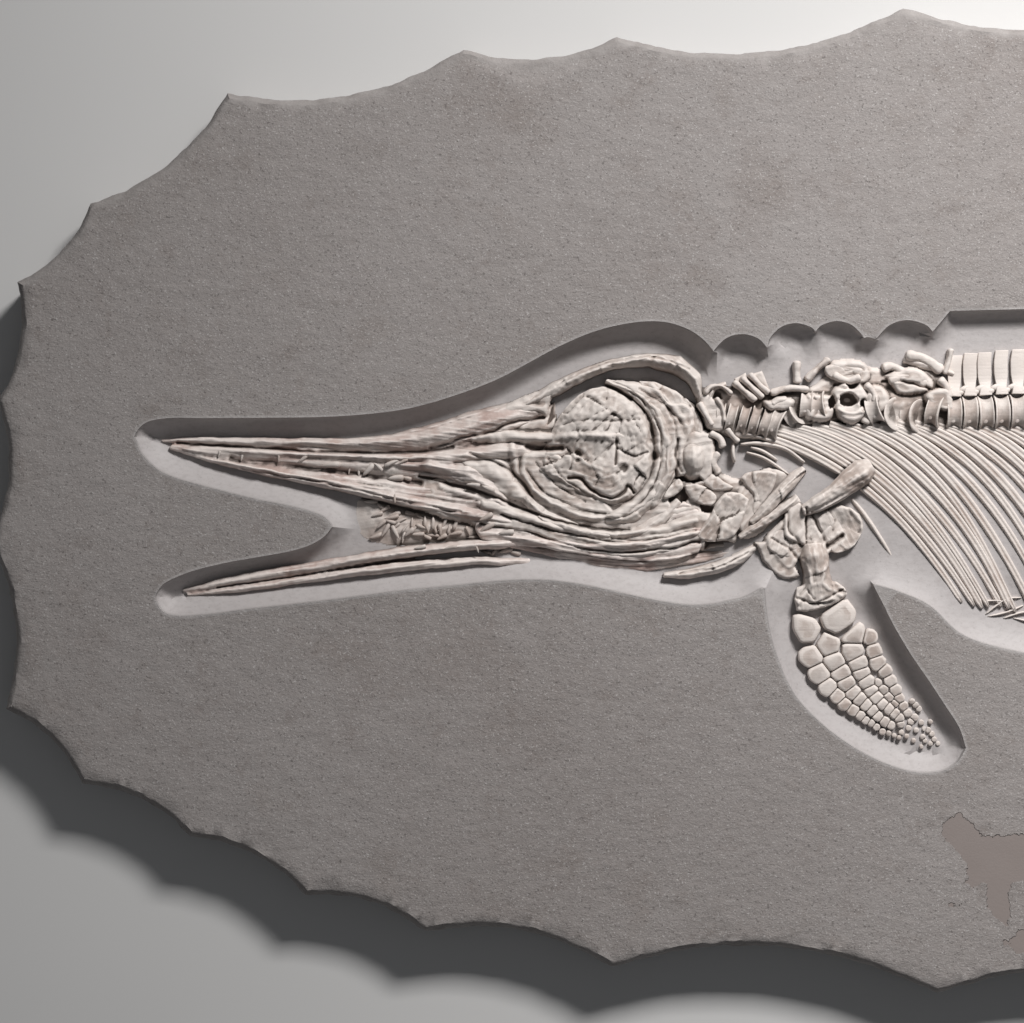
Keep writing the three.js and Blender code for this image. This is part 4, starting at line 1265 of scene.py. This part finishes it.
for i in range(RIB_COUNT):
    part, line = rib_path(i)
    line = line + 2.2 * np.column_stack((np.sin(5 * part + 2.1 * i), np.cos(4 * part + 1.3 * i))) * part[:, None]
    swell = np.sin(math.pi * np.minimum(0.9, 0.18 + 0.78 * part)) ** 0.5
    halves = (2.0 + 2.7 * swell * (1 - 0.15 * part)) * (1 + 0.12 * math.sin(3.9 * i)) * PIXEL
    halves[-1] *= 0.45
    tops = (5.2 + 1.6 * swell - 0.9 * part) * MM + 0.35 * MM * math.sin(2.7 * i)
    points, faces = rod(at(line), halves, tops, TRUNK_FLOOR + 0.4 * MM, RIB_SECTION)
    finish_rod(f"rib_bone_{i + 1:02d}", points, faces, 60.0 + i, [f"rib_{i + 1:02d}"] if i % 2 == 0 else [])

SLIGHT_RODS = [  # lines in photo pixels, half-width in pixels, height over the trunk's floor in mm
    ([(854, 499), (866, 514), (882, 538), (896, 560)], 2.6, 6.0),
    ([(735, 442), (734, 452), (736, 462)], 2.2, 7.0),
    ([(752, 447), (764, 451), (779, 460)], 2.0, 7.0),
    ([(742, 444), (760, 443), (786, 448), (806, 462)], 2.4, 7.0),
    ([(748, 452), (766, 458), (790, 474)], 1.8, 6.0),
    ([(984, 602), (1000, 601), (1012, 604)], 1.0, 5.5),
    ([(988, 615), (1000, 605), (1010, 599), (1024, 598)], 1.1, 5.5),
    ([(990, 617), (1008, 613), (1026, 606)], 1.1, 5.0),
    ([(1006, 619), (1024, 613), (1048, 611)], 1.1, 5.0),
]
belly = random.Random(11)
for u in range(1040, 1360, 21):
    drop = 618 + 10 * math.sin(math.pi * (u - 1000) / 420) - 18 * smooth_step(1200, 1400, u)
    lean = belly.uniform(-4, 10)
    SLIGHT_RODS.append(([(u - 24, drop - lean), (u, drop + 2), (u + 26, drop + belly.uniform(-6, 4))], 1.2, 5.0))
slight_points = []
slight_faces = []
ROUND_SECTION = [(-1.0, -0.5), (-0.9, 0.5), (-0.4, 0.95), (0.4, 0.95), (0.9, 0.5), (1.0, -0.5)]
for points, half, top in SLIGHT_RODS:
    path = open_curve(points, 3 * MM)
    taper = np.sin(np.linspace(0.25, math.pi - 0.25, len(path))) ** 0.4
    made_points, made_faces = rod(path, half * PIXEL * taper, top * MM * taper, TRUNK_FLOOR, ROUND_SECTION)
    slight_faces += [tuple(corner + len(slight_points) for corner in face) for face in made_faces]
    slight_points += made_points.tolist()
finish_rod("belly_ribs", slight_points, slight_faces, 99.0)


# Shoulder
# Two long rods of the clavicles, the club-shaped shoulder blade across the ribs, the flat coracoids,
# and the stout upper bone of the fore fin.

SHOULDER_RELIEF = [  # line in photo pixels, half-width in pixels, height in mm
    ([(866, 474)], 13, 3.0), ([(808, 505), (840, 486), (864, 473)], 5, 2.0),
    ([(808, 512), (836, 500), (862, 484)], 2.5, -1.6),
    ([(815, 553)], 15, 4.5), ([(803, 562), (811, 582), (800, 603)], 3.5, 2.0),
    ([(828, 562), (824, 582), (842, 596)], 3.5, 2.0), ([(816, 576)], 8, -2.0),
    ([(798, 598), (818, 603), (844, 590)], 1.8, -2.4), ([(808, 590), (816, 600)], 1.3, -1.4),
    ([(852, 511), (863, 523), (862, 538), (850, 550), (834, 555)], 3.0, 1.8), ([(842, 524)], 12, -1.8),
    ([(829, 545), (836, 542), (843, 536)], 3.4, -8.0), ([(812, 512), (822, 530), (830, 548)], 2.4, -2.4),
    ([(788, 512), (790, 530), (800, 545)], 1.8, -3.0), ([(806, 508), (808, 530), (806, 544)], 1.8, -3.0),
    ([(772, 538), (788, 548), (800, 560)], 1.8, -2.2),
    ([(752, 522), (776, 498), (804, 470)], 2.0, 1.6), ([(742, 538), (770, 521), (798, 498)], 2.0, 1.6),
    ([(758, 516), (780, 494), (800, 476)], 1.4, -1.6),
]
for seed, (node, grain) in enumerate({
    "scapula": [(803, 511), (868, 468)],
    "clavicle": [(806, 469), (752, 524)],
    "interclavicle": [(800, 498), (740, 538)],
    "throat_plate": [(778, 473), (754, 519)],
    "humerus": [(815, 543), (822, 605)],
    "coracoid": [(830, 510), (850, 550)],
    "far_coracoid": [(800, 505), (782, 556)],
}.items()):
    shoulder_bone = bone_from(node, f"{node}_bone", 1.0 * MM)
    places = places_of(shoulder_bone)
    places[:, 2] += facing_up(shoulder_bone) * shattered(places[:, :2], 20 * MM, 0.05, 0.2, seed) * MM
    move_points(shoulder_bone, places)
    work(shoulder_bone, SHOULDER_RELIEF, 20.5 + seed, 1.1, grain, 0.45, 1.3)
    fix(shoulder_bone, pale_bone, "bone", node)

# Thinner plates that lie under and between the rest.
SHOULDER_PLATES = [
    ([(738, 490), (770, 468), (792, 478), (774, 520), (750, 538), (738, 522)], 5, 4),
    ([(766, 541), (788, 514), (800, 510), (815, 532), (832, 556), (822, 562), (806, 554), (790, 570)], 6, 3),
    ([(757, 542), (783, 545), (802, 577), (785, 578), (766, 564)], 4.5, 2),
    ([(787, 509), (804, 505), (808, 540), (801, 546), (785, 536)], 10, 2.5),
    ([(804, 514), (826, 506), (836, 540), (828, 556), (814, 546)], 7.5, 3),
]
crushed_mass(
    "crushed_shoulder_bone", TRUNK_FLOOR, SHOULDER_PLATES, [], SHOULDER_RELIEF, [(760, 560), (820, 500)], 9.7
)


# Fins
# A pavement of flat, many-sided bones with crisp edges, close set in rows, large by the limb and
# shrinking to grains at the tip.

FORE_FIN = [  # middle in photo pixels and half-size in pixels, the two limb bones first
    (807, 629, 18, [(794, 616), (800, 614), (817, 619), (823, 629), (816, 643), (802, 644), (794, 630)]),
    (841, 618, 20, [(820, 617), (848, 598), (858, 611), (857, 622), (838, 635), (822, 628)]),
    (829.5, 645, 12), (855, 633.5, 12.5), (872, 638, 8), (812.5, 657, 11.5), (836, 663, 10.5), (854.5, 652, 10.5),
    (876, 652, 8), (821, 674.5, 10.5), (842.5, 673.5, 9.5), (860.5, 664, 9), (880, 663.5, 8), (887.5, 672, 7),
    (829.5, 688, 9), (848, 684.5, 8.5), (864, 674.5, 8), (869, 682.5, 8), (892.5, 681.5, 6.5), (880, 683.5, 4),
    (839, 697, 7.5), (855, 694, 7.5), (873.5, 691.5, 7), (885.5, 691, 4.8), (898, 691, 6), (846.5, 705.5, 6.5),
    (861.5, 700, 7), (878.5, 698, 7), (891, 698, 4.5), (902, 699.5, 5), (855, 711.5, 5.8), (868.5, 706, 6.2),
    (884.5, 704.5, 6), (897.5, 704.5, 3.6), (906, 707, 4.6), (862.5, 717, 4.8), (874.5, 711.5, 5.8),
    (891.5, 710, 5.6), (910, 714, 4.2), (868, 721.5, 4), (880, 717.5, 5.2), (897, 714.8, 5.2), (917, 718.5, 3.6),
    (873.3, 724.6, 3.6), (887, 723, 5), (901.7, 719.2, 4.8), (913, 723, 3.2), (878.6, 728.4, 3.5),
    (893, 726.4, 4.2), (903, 725.2, 3.8), (911, 729.2, 3), (884.8, 733.2, 3.2), (891, 734.5, 2.6),
    (914.5, 702.5, 3), (918, 706.2, 3), (921.5, 710, 2.8), (903.8, 733.6, 2.6), (909, 737.5, 2.4),
    (901.5, 738.8, 2.2), (916, 742, 2.3), (923.7, 723.7, 2.8), (925.2, 738.2, 2.6), (930.6, 731.3, 2.8),
    (934.4, 735.2, 2.6), (927.5, 742, 2.3), (936.7, 740.5, 2.4), (932.9, 745.1, 2.3), (923.7, 748, 2),
    (940.5, 745, 2.2), (932.9, 723, 2.2), (918.4, 731.5, 2.6), (926.8, 730, 2.2), (896.5, 736.8, 2.3),
]


STONE_SIDES = 10  # corners of a bone before its neighbours trim it
CORNER_CUT = 0.14  # the part of a side that its blunted corner takes up
JOINT = 0.3  # half the open joint between two bones, in pixels
STONE_RINGS = ((1.0, -0.3), (1.0, 0.66), (0.95, 0.9), (0.86, 0.97), (0.6, 1.0), (0.3, 1.03))


def pavement(name, stones, tops, floor, replaced, seed):
    """Flat bones grown from their middles until they meet, each trimmed by its neighbours."""
    points = []
    faces = []
    wobble = random.Random(seed)
    for u, v, size, *drawn in stones:
        start = wobble.uniform(0, 1)
        turns = [(k + start) * math.tau / STONE_SIDES for k in range(STONE_SIDES)]
        outline = [
            np.array((math.cos(turn), math.sin(turn))) * size * wobble.uniform(1.04, 1.2) for turn in turns
        ]
        if drawn:
            outline = [np.array(spot) - (u, v) for spot in drawn[0]]
        for near_u, near_v, near_size, *_ in stones:
            way = np.array((near_u - u, near_v - v))
            gap = np.linalg.norm(way)
            if gap == 0 or gap > 2.2 * (size + near_size):
                continue
            limit = (gap**2 + size**2 - near_size**2) / (2 * gap) - JOINT
            trimmed = []
            for one, other in zip(outline, outline[1:] + outline[:1]):
                here, there = one @ way / gap - limit, other @ way / gap - limit
                if here <= 0:
                    trimmed.append(one)
                if here * there < 0:
                    trimmed.append(one + (other - one) * here / (here - there))
            outline = trimmed
        if len(outline) < 3:
            continue
        outline = [
            spot
            for one, other in zip(outline, outline[1:] + outline[:1])
            for spot in (one + (other - one) * CORNER_CUT, other + (one - other) * CORNER_CUT)
        ]
        outline = np.array(outline)[::2] if len(outline) > 32 else np.array(outline)
        middle = outline.mean(axis=0)
        top = np.interp(size, *tops) * MM
        first = len(points)
        for shrink, height in STONE_RINGS:
            for spot in outline:
                x, y = at(np.array((u, v)) + middle + (spot - middle) * shrink)
                points.append((x, y, floor + height * top))
        count = len(outline)
        for ring in range(len(STONE_RINGS) - 1):
            for k in range(count):
                after = (k + 1) % count
                low = first + ring * count
                faces.append((low + k, low + after, low + count + after, low + count + k))
        faces.append(tuple(first + (len(STONE_RINGS) - 1) * count + k for k in range(count)))
        faces.append(tuple(first + count - 1 - k for k in range(count)))
    made = piece_of(name, points, faces)
    outward_faces(made)
    places = places_of(made)
    lift = 0.7 * grain_noise(places, 110, seed) + 0.35 * grain_noise(places, 300, seed + 5)
    places[:, 2] += lift * MM * (places[:, 2] > floor + 1 * MM)
    move_points(made, places)
    store_relief(made, 5)
    paint(made, "grain", places)
    fix(made, pale_bone, "bone", *replaced)


FIN_FLOOR = FACE - FIN_DEPTH
limb_and_fin = ["radius", "ulna", "fore_fin"]
pavement("fore_fin_bones", FORE_FIN, ((2, 5, 12, 18), (5.6, 6.6, 8.5, 10.5)), FIN_FLOOR, limb_and_fin, 5)

for seed, (node, grain) in enumerate({
    "pelvis": [(1486, 506), (1520, 558)],
    "femur": [(1524, 566), (1547, 607)],
}.items()):
    hip_bone = bone_from(node, f"{node}_bone")
    work(hip_bone, [], 40.5 + seed, 0.6, grain, 0.4)
    fix(hip_bone, pale_bone, "bone", node)

HIND_FIN = []
for row in range(11):
    part = row / 10
    middle = np.array((1550, 617)) + part * np.array((48, 74))
    breadth = 11.5 - 8 * part
    for column in range(3):
        side = np.array((0.84, -0.54)) * (column - 1) * breadth * 0.72
        HIND_FIN.append((*(middle + side), 5.2 - 3.1 * part))
pavement("hind_fin_bones", HIND_FIN, ((2, 6), (4.0, 6.5)), TRUNK_FLOOR, ["hind_fin"], 9)

for pattern in (spool, spine_plate):
    bpy.data.objects.remove(pattern)

# Painted shade in the clefts, together with the dark stone left there: each point is told how far it lies below the
# bones round it.
bones = [piece for piece in bpy.data.objects if piece.type == "MESH" and "relief" in piece.data.attributes]
spots = [places_of(bone) for bone in bones]
cells = [np.floor((places[:, :2] - slab_low[:2]) / PIXEL).astype(int) for places in spots]
heights = np.full(np.max([cell.max(axis=0) for cell in cells], axis=0) + 20, HEAD_FLOOR)
for places, cell in zip(spots, cells):
    np.maximum.at(heights, (cell[:, 0], cell[:, 1]), places[:, 2])
heights = np.maximum.reduce([np.roll(heights, (i, j), (0, 1)) for i in (-1, 0, 1) for j in (-1, 0, 1)])
for axis in (0, 1, 0, 1):
    heights = sum(np.roll(heights, shift, axis) for shift in range(-4, 5)) / 9
for bone, places, cell in zip(bones, spots, cells):
    paint(bone, "crevice_shade", (heights[cell[:, 0], cell[:, 1]] - places[:, 2]) / (8 * MM))


# Stage
# A plain pale floor, a soft light from the side of the animal's back with a weak one to fill the
# shadows, and the camera straight above.

bpy.ops.object.select_all(action="DESELECT")
bpy.ops.mesh.primitive_plane_add(size=14, location=(0, 0, 0))
floor = bpy.context.object
floor.name = "floor"
floor_finish, floor_surface, floor_pen = new_material("floor")
floor_spot = floor_pen.node("ShaderNodeTexCoord", {}, {}, "Object")
floor_tone = floor_pen.cloud(floor_spot, 1.5, 2).mix((0.60, 0.595, 0.59, 1), (0.66, 0.655, 0.65, 1))
feed(floor_surface, "Base Color", floor_tone)
floor_surface.inputs["Roughness"].default_value = 0.85
floor.data.materials.append(floor_finish)

PHOTO_SIZE = (1024, 1023)
CAMERA_HEIGHT = 2.3
view_centre = at((PHOTO_SIZE[0] / 2, PHOTO_SIZE[1] / 2))
camera_data = bpy.data.cameras.new("camera")
camera_data.lens = camera_data.sensor_width * CAMERA_HEIGHT / (PHOTO_SIZE[0] * PIXEL)
camera = bpy.data.objects.new("camera", camera_data)
camera.location = (*view_centre, FACE + CAMERA_HEIGHT)
bpy.context.collection.objects.link(camera)
bpy.context.scene.camera = camera


def soft_light(name, place, target, size, power, colour, spread=180):
    data = bpy.data.lights.new(name, "AREA")
    data.shape = "RECTANGLE"
    data.size, data.size_y = size
    data.energy = power
    data.color = colour
    data.spread = math.radians(spread)
    light = bpy.data.objects.new(name, data)
    light.location = place
    light.rotation_euler = (Vector(target) - Vector(place)).to_track_quat("-Z", "Y").to_euler()
    bpy.context.collection.objects.link(light)


soft_light("key", (0.35, 1.70, 1.60), (0.30, -0.50, 0.04), (0.60, 0.45), 41, (1.0, 0.985, 0.97), 120)
soft_light("fill", (-0.5, -0.5, 2.6), (-0.5, 0.0, 0.0), (2.0, 2.0), 1.5, (0.93, 0.96, 1.0))
world = bpy.data.worlds.new("studio")
world.use_nodes = True
world.node_tree.nodes["Background"].inputs["Color"].default_value = (0.9, 0.92, 0.95, 1)
world.node_tree.nodes["Background"].inputs["Strength"].default_value = 0.09
bpy.context.scene.world = world
bpy.context.scene.view_settings.view_transform = "Standard"
